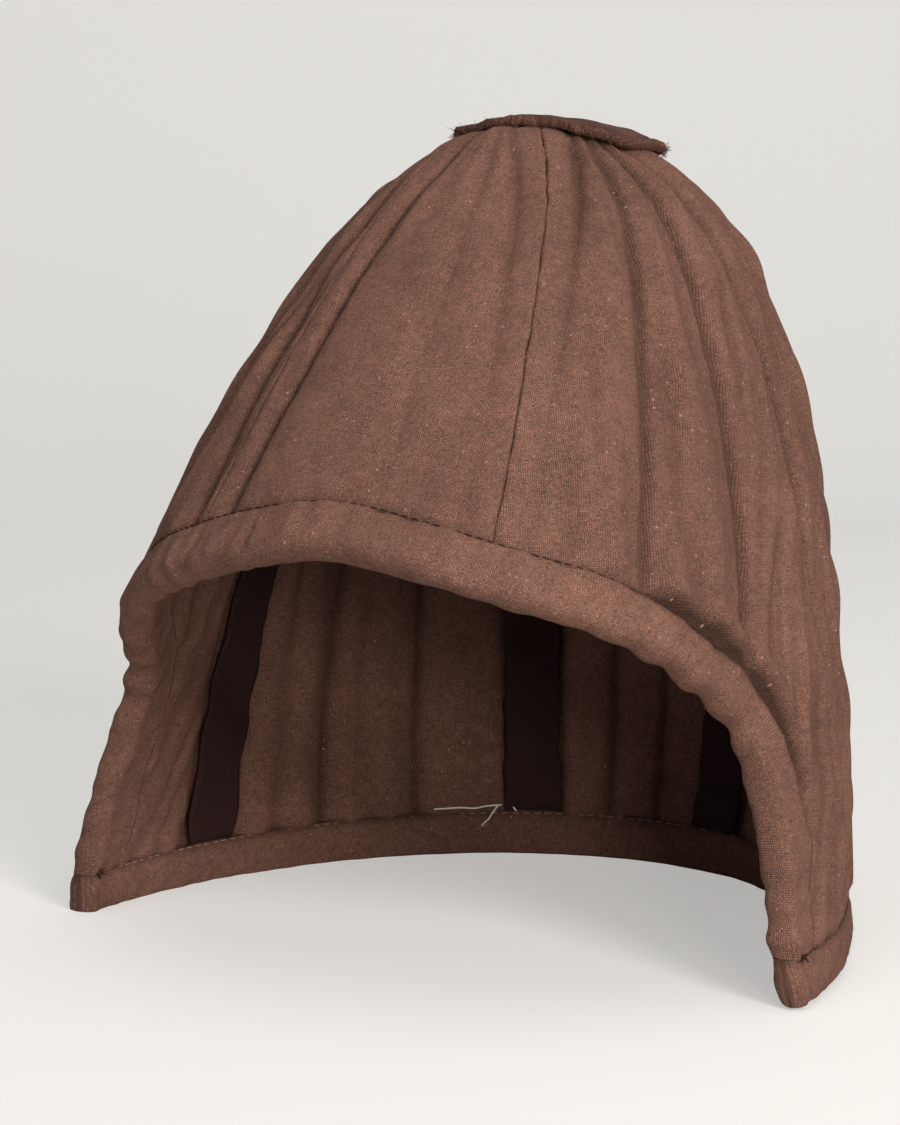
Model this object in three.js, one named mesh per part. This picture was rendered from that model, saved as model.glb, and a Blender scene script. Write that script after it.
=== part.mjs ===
// A padded arming cap: six quilted gores under a round crown patch, open round the face, standing on its hem
// Millimetres, +Z up. The face opening looks along -Y, and the wearer's left is +X.
// A turn is an angle in degrees round the upright axis, from the middle of the opening to the wearer's left.
// A reach goes from 0 at the apex to 1 at the hem: height = shell height * (1 - reach^2).
// A depth is measured into the cloth from the outer envelope, which the crests of the quilting touch.
import * as THREE from "three";

// Overall sizes
const capHeight = 230;
const hemHalfWidth = 117;
const hemFrontReach = 161;
const hemBackReach = 148;
const apexSetBack = 86;
const apexAside = 2;

// Padded cloth
const wall = 9;
const stitchedWall = 3.6;
const seamStrip = 10;
const channelsPerGore = 3;
const widestStrip = 0.6; // of half a gore's width, near the crown
const pinchLength = 9;

// Face opening
const browHeight = 121;
const tipTurn = 88.3;
const faceBandWidth = 15.8;
const faceBandWall = 10.5;

// Hem
const hemBandHeight = 13;
const hemBandWall = 9.6;
const hemTipSlant = 3.6;
const hemTipSteps = 3;
const levelHeight = 60;

// Crown patch and inside tapes
const patchRadius = 29.5;
const patchThickness = 2.4;
const crownHoleReach = 0.035;
const tapeWidth = 19;
const tapeThickness = 1;

// Gaps between sewn pieces
const gap = 0.4;

// Rows and columns of the faceted surfaces
const goreRows = 13;
const channelSteps = { gore_front: 4, gore_front_left: 7, gore_front_right: 7 };
const plainChannelSteps = 4;
const stripSteps = 2;
const hemBandSteps = 44;
const tapeSteps = 12;
const edgeSamples = 120;
const footPasses = 40;
const patchRings = 4;
const patchSectors = 30;

// Cross sections from the apex down: shares of hemHalfWidth, hemFrontReach and hemBackReach
const sections = [
  { reach: 0.0, side: 0.0, front: 0.0, back: 0.0 },
  { reach: 0.1, side: 0.17, front: 0.19, back: 0.105 },
  { reach: 0.2, side: 0.305, front: 0.262, back: 0.218 },
  { reach: 0.3, side: 0.432, front: 0.33, back: 0.318 },
  { reach: 0.4, side: 0.533, front: 0.405, back: 0.405 },
  { reach: 0.5, side: 0.626, front: 0.486, back: 0.515 },
  { reach: 0.6, side: 0.717, front: 0.57, back: 0.618 },
  { reach: 0.7, side: 0.796, front: 0.659, back: 0.71 },
  { reach: 0.8, side: 0.868, front: 0.757, back: 0.802 },
  { reach: 0.9, side: 0.935, front: 0.875, back: 0.9 },
  { reach: 1.0, side: 1.0, front: 1.0, back: 1.0 },
];

// Lower edge of the opening, middle to tip: turn as a share of tipTurn, height as a share of the brow's rise
const openingEdge = [
  { turn: 0.0, rise: 1.0 },
  { turn: 0.186, rise: 0.965 },
  { turn: 0.399, rise: 0.888 },
  { turn: 0.558, rise: 0.818 },
  { turn: 0.743, rise: 0.678 },
  { turn: 0.891, rise: 0.492 },
  { turn: 1.0, rise: 0.0 },
];

// Turns of the seams on the wearer's left, at the crown, halfway down and at the hem
const seams = {
  front: { crown: 37, middle: 29, hem: 29.5 },
  side: { crown: 95, middle: 95, hem: 113 },
  back: { crown: 154, middle: 154, hem: 164 },
};

// Soft dents (-) and swells (+): middle as a turn and a share of the shell's height, half sizes along both,
// and depth as a share of wall
const dents = [
  { turn: 76, height: 0.34, turnSize: 12, heightSize: 0.1, depth: -0.29 },
  { turn: 92, height: 0.27, turnSize: 9, heightSize: 0.12, depth: 0.22 },
  { turn: 112, height: 0.42, turnSize: 14, heightSize: 0.2, depth: -0.24 },
  { turn: -78, height: 0.37, turnSize: 16, heightSize: 0.14, depth: -0.38 },
  { turn: 14, height: 0.72, turnSize: 18, heightSize: 0.14, depth: -0.2 },
  { turn: 168, height: 0.36, turnSize: 24, heightSize: 0.18, depth: -0.33 },
];

const shellHeight = capHeight - patchThickness - gap;
const radians = THREE.MathUtils.degToRad;
const smoothstep = THREE.MathUtils.smoothstep;
const lerp = THREE.MathUtils.lerp;

const reachAtHeight = (height) => Math.sqrt(Math.max(0, 1 - height / shellHeight));
const heightAtReach = (reach) => shellHeight * (1 - reach * reach);

// Smooth value of one column of the sections table at a reach: a cubic through the neighbouring rows
function sectionShare(reach, column) {
  const last = sections.length - 1;
  const place = Math.min(Math.max(reach, 0), 1) * last;
  const row = Math.min(Math.floor(place), last - 1);
  const here = sections[row][column];
  const next = sections[row + 1][column];
  const before = row > 0 ? sections[row - 1][column] : 2 * here - next;
  const after = row + 2 <= last ? sections[row + 2][column] : 2 * next - here;
  const f = place - row;
  const slopeHere = (next - before) / 2;
  const slopeNext = (after - here) / 2;
  return (
    here * (1 - 3 * f * f + 2 * f ** 3) +
    next * (3 * f * f - 2 * f ** 3) +
    slopeHere * (f - 2 * f * f + f ** 3) +
    slopeNext * (f ** 3 - f * f)
  );
}

// Point of the outer envelope before dents: an egg-shaped ring at each height, further forward lower down
function envelopePoint(turn, reach) {
  const angle = radians(turn);
  const square = reach * reach;
  const middle = (-apexSetBack * (square + square * square)) / 2;
  const facesFront = Math.cos(angle) > 0;
  const length = facesFront
    ? hemFrontReach * sectionShare(reach, "front")
    : hemBackReach * sectionShare(reach, "back");
  return new THREE.Vector3(
    hemHalfWidth * sectionShare(reach, "side") * Math.sin(angle) + apexAside * (1 - square),
    middle - length * Math.cos(angle),
    heightAtReach(reach),
  );
}

const turnStep = 0.5;
const reachStep = 0.004;
const shareStep = 1e-3;

// Outward direction of the envelope, turned level near the hem so that the hem's underside is flat
function outward(turn, reach) {
  const middle = Math.max(reach, 2 * reachStep);
  const alongTurn = envelopePoint(turn + turnStep, middle).sub(envelopePoint(turn - turnStep, middle));
  const upper = Math.min(middle, 1 - reachStep);
  const alongReach = envelopePoint(turn, upper + reachStep).sub(envelopePoint(turn, upper - reachStep));
  const normal = alongReach.cross(alongTurn).normalize();
  normal.z *= smoothstep(heightAtReach(reach), hemBandHeight, levelHeight);
  return normal.normalize();
}

// Depth of the dents and swells at a place, faded out at the hem and under the patch
function dentAt(turn, reach) {
  const height = heightAtReach(reach) / shellHeight;
  let sum = 0;
  for (const dent of dents) {
    const across = (THREE.MathUtils.euclideanModulo(turn - dent.turn + 180, 360) - 180) / dent.turnSize;
    const along = (height - dent.height) / dent.heightSize;
    sum += wall * dent.depth * Math.exp(-across * across - along * along);
  }
  return sum * smoothstep(height, 0, 0.2) * (1 - smoothstep(height, 0.8, 0.95));
}

// Point of the cloth at a turn, a reach and a depth below the envelope
function capPoint(turn, reach, depth) {
  const point = envelopePoint(turn, reach);
  return point.addScaledVector(outward(turn, reach), dentAt(turn, reach) - depth);
}

// Turn of a seam, which swings near the crown and again near the hem
const seamTurn = (seam, reach) =>
  lerp(seam.middle, seam.hem, reach ** 4) + (seam.crown - seam.middle) * (1 - reach) ** 6;

// Degrees of turn that a length along the cloth takes at a place
function turnFor(length, turn, reach) {
  const perDegree = envelopePoint(turn + turnStep, reach).distanceTo(envelopePoint(turn - turnStep, reach));
  return (length * 2 * turnStep) / Math.max(perDegree, 1e-6);
}

// Edge of the opening as a curve of (turn, height) from the wearer's right tip over the brow to the left tip
const edgeBase = hemBandHeight + gap;
const leftEdge = openingEdge.map(
  (row) => new THREE.Vector2(row.turn * tipTurn, lerp(edgeBase, browHeight, row.rise)),
);
const rightEdge = leftEdge
  .slice(1)
  .reverse()
  .map((point) => new THREE.Vector2(-point.x, point.y));
const edgeCurve = new THREE.SplineCurve([...rightEdge, ...leftEdge]);

// Place on the cloth (turn, height) that lies a width inward of the opening's edge, square to it.
// Near a tip the step turns level, so that the band ends flat on the hem band.
function insideEdge(share, width) {
  const here = edgeCurve.getPoint(share);
  const next = edgeCurve.getPoint(Math.min(share + shareStep, 1));
  const previous = edgeCurve.getPoint(Math.max(share - shareStep, 0));
  const tangent = envelopePoint(next.x, reachAtHeight(next.y))
    .sub(envelopePoint(previous.x, reachAtHeight(previous.y)))
    .normalize();
  const level = 1 - smoothstep(here.y, edgeBase, levelHeight);
  const pieces = 4;
  const place = here.clone();
  for (let piece = 0; piece < pieces; piece++) {
    const reach = reachAtHeight(place.y);
    const alongTurn = envelopePoint(place.x + turnStep, reach)
      .sub(envelopePoint(place.x - turnStep, reach))
      .divideScalar(2 * turnStep);
    const alongHeight = envelopePoint(place.x, reachAtHeight(place.y + 1))
      .sub(envelopePoint(place.x, reachAtHeight(place.y - 1)))
      .divideScalar(2);
    const square = new THREE.Vector3().crossVectors(outward(place.x, reach), tangent).normalize();
    const backward = alongTurn.clone().multiplyScalar(Math.sign(here.x) || 1).normalize();
    square.lerp(backward, level).normalize();
    const tt = alongTurn.lengthSq();
    const th = alongTurn.dot(alongHeight);
    const hh = alongHeight.lengthSq();
    const st = square.dot(alongTurn);
    const sh = square.dot(alongHeight);
    const det = tt * hh - th * th;
    const step = width / pieces;
    place.x += (step * (st * hh - sh * th)) / det;
    place.y += (step * (sh * tt - st * th)) / det;
    place.y = Math.max(place.y, edgeBase);
  }
  return place;
}

// Line of stitches above the face band, where the gores begin, in order of turn
const goreLine = [];
for (let step = 0; step <= edgeSamples; step++) {
  const share = step / edgeSamples;
  const place = insideEdge(share, faceBandWidth + gap);
  goreLine.push({ share, turn: place.x, height: place.y });
}
const cornerTurn = goreLine[edgeSamples].turn;

// Where the gores begin at a turn: {share, height} on the face band's line, or on the hem band behind it
function goreBase(turn) {
  const side = THREE.MathUtils.euclideanModulo(turn + 180, 360) - 180;
  const next = goreLine.findIndex((row) => row.turn >= side);
  if (next < 1) return { share: side > 0 ? 1 : 0, height: edgeBase };
  const from = goreLine[next - 1];
  const to = goreLine[next];
  const f = (side - from.turn) / (to.turn - from.turn);
  return { share: lerp(from.share, to.share, f), height: lerp(from.height, to.height, f) };
}

// One closed mesh from its vertices and faces, turned so that its faces point out
function closedMesh(name, vertices, faces, material) {
  let volume = 0;
  for (const [a, b, c] of faces) {
    volume += vertices[a].dot(new THREE.Vector3().crossVectors(vertices[b], vertices[c]));
  }
  const index = faces.flatMap(([a, b, c]) => (volume < 0 ? [a, c, b] : [a, b, c]));
  const geometry = new THREE.BufferGeometry();
  geometry.setAttribute(
    "position",
    new THREE.Float32BufferAttribute(vertices.flatMap((v) => [v.x, v.y, v.z]), 3),
  );
  geometry.setIndex(index);
  geometry.computeVertexNormals();
  const mesh = new THREE.Mesh(geometry, material);
  mesh.name = name;
  return mesh;
}

// Closed shell between an outer and an inner grid of points of the same size
function shellBetween(name, outer, inner, material) {
  const rows = outer.length;
  const columns = outer[0].length;
  const vertices = [...outer.flat(), ...inner.flat()];
  const at = (side, row, column) => side * rows * columns + row * columns + column;
  const faces = [];
  const quad = (a, b, c, d) => faces.push([a, b, c], [a, c, d]);
  for (let row = 0; row < rows - 1; row++) {
    for (let column = 0; column < columns - 1; column++) {
      quad(at(0, row, column), at(0, row, column + 1), at(0, row + 1, column + 1), at(0, row + 1, column));
      quad(at(1, row, column), at(1, row + 1, column), at(1, row + 1, column + 1), at(1, row, column + 1));
    }
    const end = columns - 1;
    quad(at(0, row, 0), at(0, row + 1, 0), at(1, row + 1, 0), at(1, row, 0));
    quad(at(0, row, end), at(1, row, end), at(1, row + 1, end), at(0, row + 1, end));
  }
  for (let column = 0; column < columns - 1; column++) {
    const end = rows - 1;
    quad(at(0, 0, column), at(1, 0, column), at(1, 0, column + 1), at(0, 0, column + 1));
    quad(at(0, end, column), at(0, end, column + 1), at(1, end, column + 1), at(1, end, column));
  }
  return closedMesh(name, vertices, faces, material);
}

// Closed bar through a row of loops, each with the same number of points, with flat ends
function barThrough(name, loops, material) {
  const count = loops[0].length;
  const vertices = loops.flat();
  const faces = [];
  for (let step = 0; step < loops.length - 1; step++) {
    for (let point = 0; point < count; point++) {
      const a = step * count + point;
      const b = step * count + ((point + 1) % count);
      faces.push([a, b, b + count], [a, b + count, a + count]);
    }
  }
  const last = (loops.length - 1) * count;
  for (let point = 1; point < count - 1; point++) {
    faces.push([0, point + 1, point], [last, last + point, last + point + 1]);
  }
  return closedMesh(name, vertices, faces, material);
}

// Lines of a gore from the bands up to the crown. turnAt gives a line's turn at a reach. foot is where it begins.
// crest is how far the padding stands up there, from 0 on a stitched line to 1 in the middle of a channel.
function goreLines(name, startSeam, endSeam) {
  const lines = [];
  const addLine = (crest, turnAt) => lines.push({ crest, turnAt });
  const stripAt = (seam, reach, half) =>
    Math.min(turnFor(seamStrip, seamTurn(seam, reach), reach), half * widestStrip);
  const halfAt = (reach) => (seamTurn(endSeam, reach) - seamTurn(startSeam, reach)) / 2;
  const edgeAt = (seam, reach) => turnFor(gap / 2, seamTurn(seam, reach), reach);
  const strip = (seam, side, step) =>
    addLine(Math.sin((Math.PI * step) / stripSteps) / 2, (reach) => {
      const length = (stripAt(seam, reach, halfAt(reach)) * step) / stripSteps;
      return seamTurn(seam, reach) + side * Math.max(length, edgeAt(seam, reach));
    });
  for (let step = 0; step <= stripSteps; step++) strip(startSeam, 1, step);
  const perChannel = channelSteps[name] ?? plainChannelSteps;
  const steps = channelsPerGore * perChannel;
  for (let step = 1; step < steps; step++) {
    addLine(Math.sin((Math.PI * (step % perChannel)) / perChannel) ** 0.7, (reach) => {
      const start = seamTurn(startSeam, reach) + stripAt(startSeam, reach, halfAt(reach));
      const end = seamTurn(endSeam, reach) - stripAt(endSeam, reach, halfAt(reach));
      return lerp(start, end, step / steps);
    });
  }
  for (let step = stripSteps; step >= 0; step--) strip(endSeam, -1, step);
  // A line's turn changes with the height, so its foot is found by going down to the bands again and again
  for (const line of lines) {
    line.foot = 1;
    for (let pass = 0; pass < footPasses; pass++) {
      line.foot = reachAtHeight(goreBase(line.turnAt(line.foot)).height);
    }
    line.footTurn = line.turnAt(line.foot);
  }
  // The line nearest to the corner where the two bands meet begins right in it
  for (const corner of [-cornerTurn, cornerTurn]) {
    if (corner < lines[0].footTurn || corner > lines[lines.length - 1].footTurn) continue;
    const nearest = lines.reduce((best, line) =>
      Math.abs(line.footTurn - corner) < Math.abs(best.footTurn - corner) ? line : best,
    );
    nearest.footTurn = corner;
    nearest.foot = reachAtHeight(edgeBase);
  }
  return lines;
}

// Padded gore between two seams, from the bands up to the small hole under the crown patch
function gore(name, lines, material) {
  const outer = [];
  const inner = [];
  for (let row = 0; row <= goreRows; row++) {
    outer.push([]);
    inner.push([]);
  }
  for (const line of lines) {
    const pinchReach = reachAtHeight(heightAtReach(line.foot) + pinchLength);
    for (let row = 0; row <= goreRows; row++) {
      const atFoot = row === 0;
      const reach = atFoot ? line.foot : lerp(pinchReach, crownHoleReach, (row - 1) / (goreRows - 1));
      const turn = atFoot ? line.footTurn : line.turnAt(reach);
      const thickness = lerp(stitchedWall, wall, atFoot ? 0 : line.crest);
      outer[row].push(capPoint(turn, reach, (wall - thickness) / 2));
      inner[row].push(capPoint(turn, reach, (wall + thickness) / 2));
    }
  }
  return shellBetween(name, outer, inner, material);
}

// Rounded section of a turned edge: (width, depth) points, thinnest along its line of stitches
function bandSection(width, thickness) {
  const middle = wall / 2;
  const half = thickness / 2;
  const stitched = stitchedWall / 2;
  return [
    { width: 0, depth: middle },
    { width: width * 0.07, depth: middle - half * 0.66 },
    { width: width * 0.3, depth: middle - half },
    { width: width * 0.68, depth: middle - half * 0.9 },
    { width, depth: middle - stitched },
    { width, depth: middle + stitched },
    { width: width * 0.68, depth: middle + half * 0.9 },
    { width: width * 0.3, depth: middle + half },
    { width: width * 0.07, depth: middle + half * 0.66 },
  ];
}

// The face band has one section at the foot of each gore line that it carries
function faceBand(lines, material) {
  const section = bandSection(faceBandWidth, faceBandWall);
  const carried = lines.filter((line) => Math.abs(line.footTurn) < cornerTurn - gap);
  const shares = carried.map((line) => goreBase(line.footTurn).share).sort((a, b) => a - b);
  const stations = [0, ...shares, 1].filter((share, i, all) => i === 0 || share - all[i - 1] > shareStep);
  const loops = stations.map((share) =>
    section.map((corner) => {
      const place = insideEdge(share, corner.width);
      return capPoint(place.x, reachAtHeight(place.y), corner.depth);
    }),
  );
  return barThrough("face_band", loops, material);
}

// The hem runs from tip to tip round the back; its underside is flat
function hemBand(material) {
  const middle = wall / 2;
  const half = hemBandWall / 2;
  const stitched = stitchedWall / 2;
  const section = [
    { height: 0, depth: middle - half * 0.6 },
    { height: hemBandHeight * 0.25, depth: middle - half },
    { height: hemBandHeight * 0.7, depth: middle - half * 0.9 },
    { height: hemBandHeight, depth: middle - stitched },
    { height: hemBandHeight, depth: middle + stitched },
    { height: hemBandHeight * 0.7, depth: middle + half * 0.9 },
    { height: hemBandHeight * 0.25, depth: middle + half },
    { height: 0, depth: middle + half * 0.6 },
  ];
  const loops = [];
  for (let step = 0; step <= hemBandSteps; step++) {
    const turn = lerp(tipTurn, 360 - tipTurn, step / hemBandSteps);
    // At the tips the underside stops a little short of the top, so that the end stands upright
    const atLeftTip = Math.max(0, 1 - step / hemTipSteps);
    const atRightTip = Math.max(0, 1 - (hemBandSteps - step) / hemTipSteps);
    const slant = hemTipSlant * (atLeftTip - atRightTip);
    loops.push(
      section.map(({ height, depth }) =>
        capPoint(turn + slant * (1 - height / hemBandHeight), reachAtHeight(height), depth),
      ),
    );
  }
  return barThrough("hem_band", loops, material);
}

// Tape over a seam inside, from the bands up to the crown
function seamTape(name, seam, material) {
  const loops = [];
  const near = (wall + stitchedWall) / 2 + (wall - stitchedWall) / 4 + gap;
  const far = near + tapeThickness;
  const foot = reachAtHeight(goreBase(seamTurn(seam, 1)).height + 2 * gap);
  const top = reachAtHeight(shellHeight * 0.955);
  for (let step = 0; step <= tapeSteps; step++) {
    const reach = lerp(foot, top, step / tapeSteps);
    const turn = seamTurn(seam, reach);
    const half = turnFor(tapeWidth / 2, turn, reach);
    loops.push([
      capPoint(turn - half, reach, near),
      capPoint(turn, reach, near),
      capPoint(turn + half, reach, near),
      capPoint(turn + half, reach, far),
      capPoint(turn, reach, far),
      capPoint(turn - half, reach, far),
    ]);
  }
  return barThrough(name, loops, material);
}

// Round patch lying on the gores where they meet
function crownPatch(material) {
  const apex = envelopePoint(0, 0);
  const top = gap + patchThickness;
  const vertices = [
    new THREE.Vector3(apex.x, apex.y, apex.z + top),
    new THREE.Vector3(apex.x, apex.y, apex.z + gap),
  ];
  const rimReach = (turn) => {
    let reach = 0;
    while (envelopePoint(turn, reach).setZ(0).distanceTo(apex.clone().setZ(0)) < patchRadius) {
      reach += reachStep / 2;
    }
    return reach;
  };
  for (let ring = 1; ring <= patchRings; ring++) {
    for (let sector = 0; sector < patchSectors; sector++) {
      const turn = (360 * sector) / patchSectors;
      const reach = (rimReach(turn) * ring) / patchRings;
      vertices.push(capPoint(turn, reach, -top), capPoint(turn, reach, -gap));
    }
  }
  const at = (ring, sector, side) => 2 + ((ring - 1) * patchSectors + (sector % patchSectors)) * 2 + side;
  const faces = [];
  for (let sector = 0; sector < patchSectors; sector++) {
    faces.push([0, at(1, sector, 0), at(1, sector + 1, 0)]);
    faces.push([1, at(1, sector + 1, 1), at(1, sector, 1)]);
    for (let ring = 1; ring < patchRings; ring++) {
      for (const side of [0, 1]) {
        const here = at(ring, sector, side);
        const out = at(ring + 1, sector, side);
        const across = at(ring + 1, sector + 1, side);
        const beside = at(ring, sector + 1, side);
        const fromAbove = [[here, out, across], [here, across, beside]];
        faces.push(...(side === 0 ? fromAbove : fromAbove.map((face) => face.reverse())));
      }
    }
    const outer = at(patchRings, sector, 0);
    const outerNext = at(patchRings, sector + 1, 0);
    const inner = at(patchRings, sector, 1);
    const innerNext = at(patchRings, sector + 1, 1);
    faces.push([outer, inner, innerNext], [outer, innerNext, outerNext]);
  }
  return closedMesh("crown_patch", vertices, faces, material);
}

const mirrored = (seam) => ({ crown: -seam.crown, middle: -seam.middle, hem: -seam.hem });
const afterWholeTurn = (seam) => ({ crown: 360 + seam.crown, middle: 360 + seam.middle, hem: 360 + seam.hem });
const canvas = new THREE.MeshStandardMaterial({ color: 0x8a6255, roughness: 0.95, metalness: 0 });
const tapeCloth = new THREE.MeshStandardMaterial({ color: 0x34201f, roughness: 0.9, metalness: 0 });
const patchCloth = new THREE.MeshStandardMaterial({ color: 0x6f4c42, roughness: 0.95, metalness: 0 });

const left = seams;
const right = { front: mirrored(seams.front), side: mirrored(seams.side), back: mirrored(seams.back) };

const gores = {
  gore_front: [right.front, left.front],
  gore_front_left: [left.front, left.side],
  gore_front_right: [right.side, right.front],
  gore_back_left: [left.side, left.back],
  gore_back_right: [right.back, right.side],
  gore_back: [left.back, afterWholeTurn(right.back)],
};

const cap = new THREE.Group();
const frontLines = [];
for (const [name, [startSeam, endSeam]] of Object.entries(gores)) {
  const lines = goreLines(name, startSeam, endSeam);
  if (name in channelSteps) frontLines.push(...lines);
  cap.add(gore(name, lines, canvas));
}
cap.add(faceBand(frontLines, canvas), hemBand(canvas), crownPatch(patchCloth));
for (const [place, seam] of Object.entries(seams)) {
  cap.add(seamTape(`tape_${place}_left`, seam, tapeCloth));
  cap.add(seamTape(`tape_${place}_right`, mirrored(seam), tapeCloth));
}

// The origin is the middle of the underside of the cap's box
const box = new THREE.Box3().setFromObject(cap);
const middle = box.getCenter(new THREE.Vector3());
cap.position.set(-middle.x, -middle.y, -box.min.z);

export default cap;
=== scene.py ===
"""A padded arming cap of reddish-brown canvas: six quilted gores, a turned edge round the face, a hem that it
stands on, dark tapes over the seams inside and a frayed round patch on the crown. Metres, in the frame of the
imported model.

The cloth is one map. A turn is an angle in degrees round the upright axis, from the middle of the face
opening to the wearer's left. A reach goes from 0 at the apex to 1 at the hem. A depth is measured into the
cloth from its outer envelope, which the crests of the quilting touch."""

import math
from functools import partial

import bpy
import numpy as np
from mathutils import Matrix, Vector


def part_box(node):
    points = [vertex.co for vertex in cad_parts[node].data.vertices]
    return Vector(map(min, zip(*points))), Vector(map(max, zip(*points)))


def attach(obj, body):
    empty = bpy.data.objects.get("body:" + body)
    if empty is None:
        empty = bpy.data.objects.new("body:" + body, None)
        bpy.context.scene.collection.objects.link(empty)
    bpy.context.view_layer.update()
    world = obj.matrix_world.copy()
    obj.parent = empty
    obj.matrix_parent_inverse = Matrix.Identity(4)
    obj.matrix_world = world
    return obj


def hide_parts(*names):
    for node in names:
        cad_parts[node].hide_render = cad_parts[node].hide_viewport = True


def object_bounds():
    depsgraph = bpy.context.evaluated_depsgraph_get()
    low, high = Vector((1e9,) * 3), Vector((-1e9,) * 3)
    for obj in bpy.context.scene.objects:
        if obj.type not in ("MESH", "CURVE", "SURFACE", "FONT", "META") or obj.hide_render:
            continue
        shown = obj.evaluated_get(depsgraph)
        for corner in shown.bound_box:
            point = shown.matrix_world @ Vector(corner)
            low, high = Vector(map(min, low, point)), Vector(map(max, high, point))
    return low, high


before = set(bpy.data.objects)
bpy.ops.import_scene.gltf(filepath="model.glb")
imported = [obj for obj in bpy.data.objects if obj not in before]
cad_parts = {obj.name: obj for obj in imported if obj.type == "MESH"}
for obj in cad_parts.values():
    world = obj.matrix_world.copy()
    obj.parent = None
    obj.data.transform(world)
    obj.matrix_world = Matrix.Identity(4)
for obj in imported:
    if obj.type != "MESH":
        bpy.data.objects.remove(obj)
cad_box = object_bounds()

MM = 0.001

# Overall sizes, as the solids have them
CAP_HEIGHT = cad_box[1][2]
HEM_HALF_WIDTH = 117 * MM
HEM_FRONT_REACH = 161 * MM
HEM_BACK_REACH = 148 * MM
APEX_SET_BACK = 86 * MM
APEX_ASIDE = 2 * MM
WALL = 9 * MM
STITCHED_WALL = 3.6 * MM
SEAM_STRIP = 9 * MM
BROW_HEIGHT = 121 * MM
TIP_TURN = 88.3
FACE_BAND_WIDTH = 15.8 * MM
FACE_BAND_TAPER = 1.2 * MM
FACE_BAND_WALL = 10.5 * MM
HEM_BAND_HEIGHT = 13 * MM
HEM_BAND_WALL = 9.6 * MM
HEM_TIP_SLANT = 3.6
LEVEL_HEIGHT = 60 * MM
PATCH_RADIUS = 29.5 * MM
PATCH_THICKNESS = 2.4 * MM
SEWN_GAP = 0.4 * MM
TAPE_WIDTH = 19 * MM
TAPE_THICKNESS = 0.9 * MM
SHELL_HEIGHT = CAP_HEIGHT - PATCH_THICKNESS - SEWN_GAP

# Cross sections at evenly spaced reaches, as shares of HEM_HALF_WIDTH, HEM_FRONT_REACH and HEM_BACK_REACH
SIDE_SHARES = (0.0, 0.17, 0.305, 0.432, 0.533, 0.626, 0.717, 0.796, 0.868, 0.935, 1.0)
FRONT_SHARES = (0.0, 0.19, 0.262, 0.33, 0.405, 0.486, 0.57, 0.659, 0.757, 0.875, 1.0)
BACK_SHARES = (0.0, 0.105, 0.218, 0.318, 0.405, 0.515, 0.618, 0.71, 0.802, 0.9, 1.0)

# Edge of the face opening, middle to tip: turn as a share of TIP_TURN, height as a share of the brow's rise
OPENING_EDGE = (
    (0.0, 1.0), (0.186, 0.965), (0.399, 0.888), (0.558, 0.818), (0.743, 0.678), (0.891, 0.492), (1.0, 0.0),
)

# Turns of the seams on the wearer's left: at the crown, halfway down and at the hem
SEAMS = {"front": (37, 29, 29.5), "side": (95, 95, 113), "back": (154, 154, 164)}

# Soft dents and swells of the whole wall: turn, height share, sizes along both, outward depth as a share of
# WALL
DENTS = (
    (76, 0.34, 12, 0.10, -0.29),
    (92, 0.27, 9, 0.12, 0.22),
    (112, 0.42, 14, 0.20, -0.24),
    (-78, 0.37, 16, 0.14, -0.38),
    (14, 0.72, 18, 0.14, -0.2),
    (168, 0.36, 24, 0.18, -0.33),
)

# Gathers that stand up under the patch's front edge: height, middle and spread round the cap
CROWN_SWELL = 2.6 * MM
CROWN_SWELL_TURN, CROWN_SWELL_SPREAD = 22, 62

# Steps of the map's central differences
TURN_STEP = 0.5
REACH_STEP = 0.004


def smoothstep(value, low, high):
    """0 below low, 1 above high, and 3t^2 - 2t^3 between."""
    t = np.clip((value - low) / (high - low), 0, 1)
    return t * t * (3 - 2 * t)


def bell(distance, size, power=2):
    """exp(-(distance / size)^power)."""
    return np.exp(-((distance / size) ** power))


def nose(t, length, power=2.0):
    """Rounded end of a section: 0 at t = 0, full from t = length."""
    return (1 - (1 - np.clip(t / length, 0, 1)) ** power) ** (1 / power)


def rolling(x, y, size, seed, terms=16):
    """Uneven field of unit swing: a sum of sines of random direction whose wavelengths lie round size."""
    rng = np.random.default_rng(seed)
    total = np.zeros(np.broadcast(x, y).shape)
    for _ in range(terms):
        angle, phase = rng.uniform(0, 2 * math.pi, 2)
        wave = 2 * math.pi / (size * rng.uniform(0.7, 1.6))
        total += np.sin(wave * (x * math.cos(angle) + y * math.sin(angle)) + phase)
    return total / math.sqrt(terms / 2)


def unit(vectors):
    return vectors / np.maximum(np.linalg.norm(vectors, axis=-1, keepdims=True), 1e-12)


def length_along(points, axis=0):
    """Length from the first point of a line, or of each line of a grid, to each of its points."""
    return np.insert(np.cumsum(np.linalg.norm(np.diff(points, axis=axis), axis=-1), axis), 0, 0, axis)


def wrapped(turn):
    """The turn between -180 and 180."""
    return (turn + 180) % 360 - 180


# The map of the cloth


def through_rows(reach, shares):
    """Cubic Hermite curve through evenly spaced shares. A slope is half the rise between the neighbours."""
    rows = np.concatenate([[2 * shares[0] - shares[1]], shares, [2 * shares[-1] - shares[-2]]])
    place = np.clip(reach, 0, 1) * (len(shares) - 1)
    row = np.minimum(place.astype(int), len(shares) - 2)
    f = place - row
    before, here, after, beyond = (rows[row + i] for i in range(4))
    slope_here, slope_after = (after - before) / 2, (beyond - here) / 2
    return (
        here * (1 - 3 * f**2 + 2 * f**3)
        + after * (3 * f**2 - 2 * f**3)
        + slope_here * (f - 2 * f**2 + f**3)
        + slope_after * (f**3 - f**2)
    )


def reach_at(height):
    """reach = sqrt(1 - height / shell height)."""
    return np.sqrt(np.maximum(0, 1 - np.asarray(height, float) / SHELL_HEIGHT))


def height_at(reach):
    return SHELL_HEIGHT * (1 - reach * reach)


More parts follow.
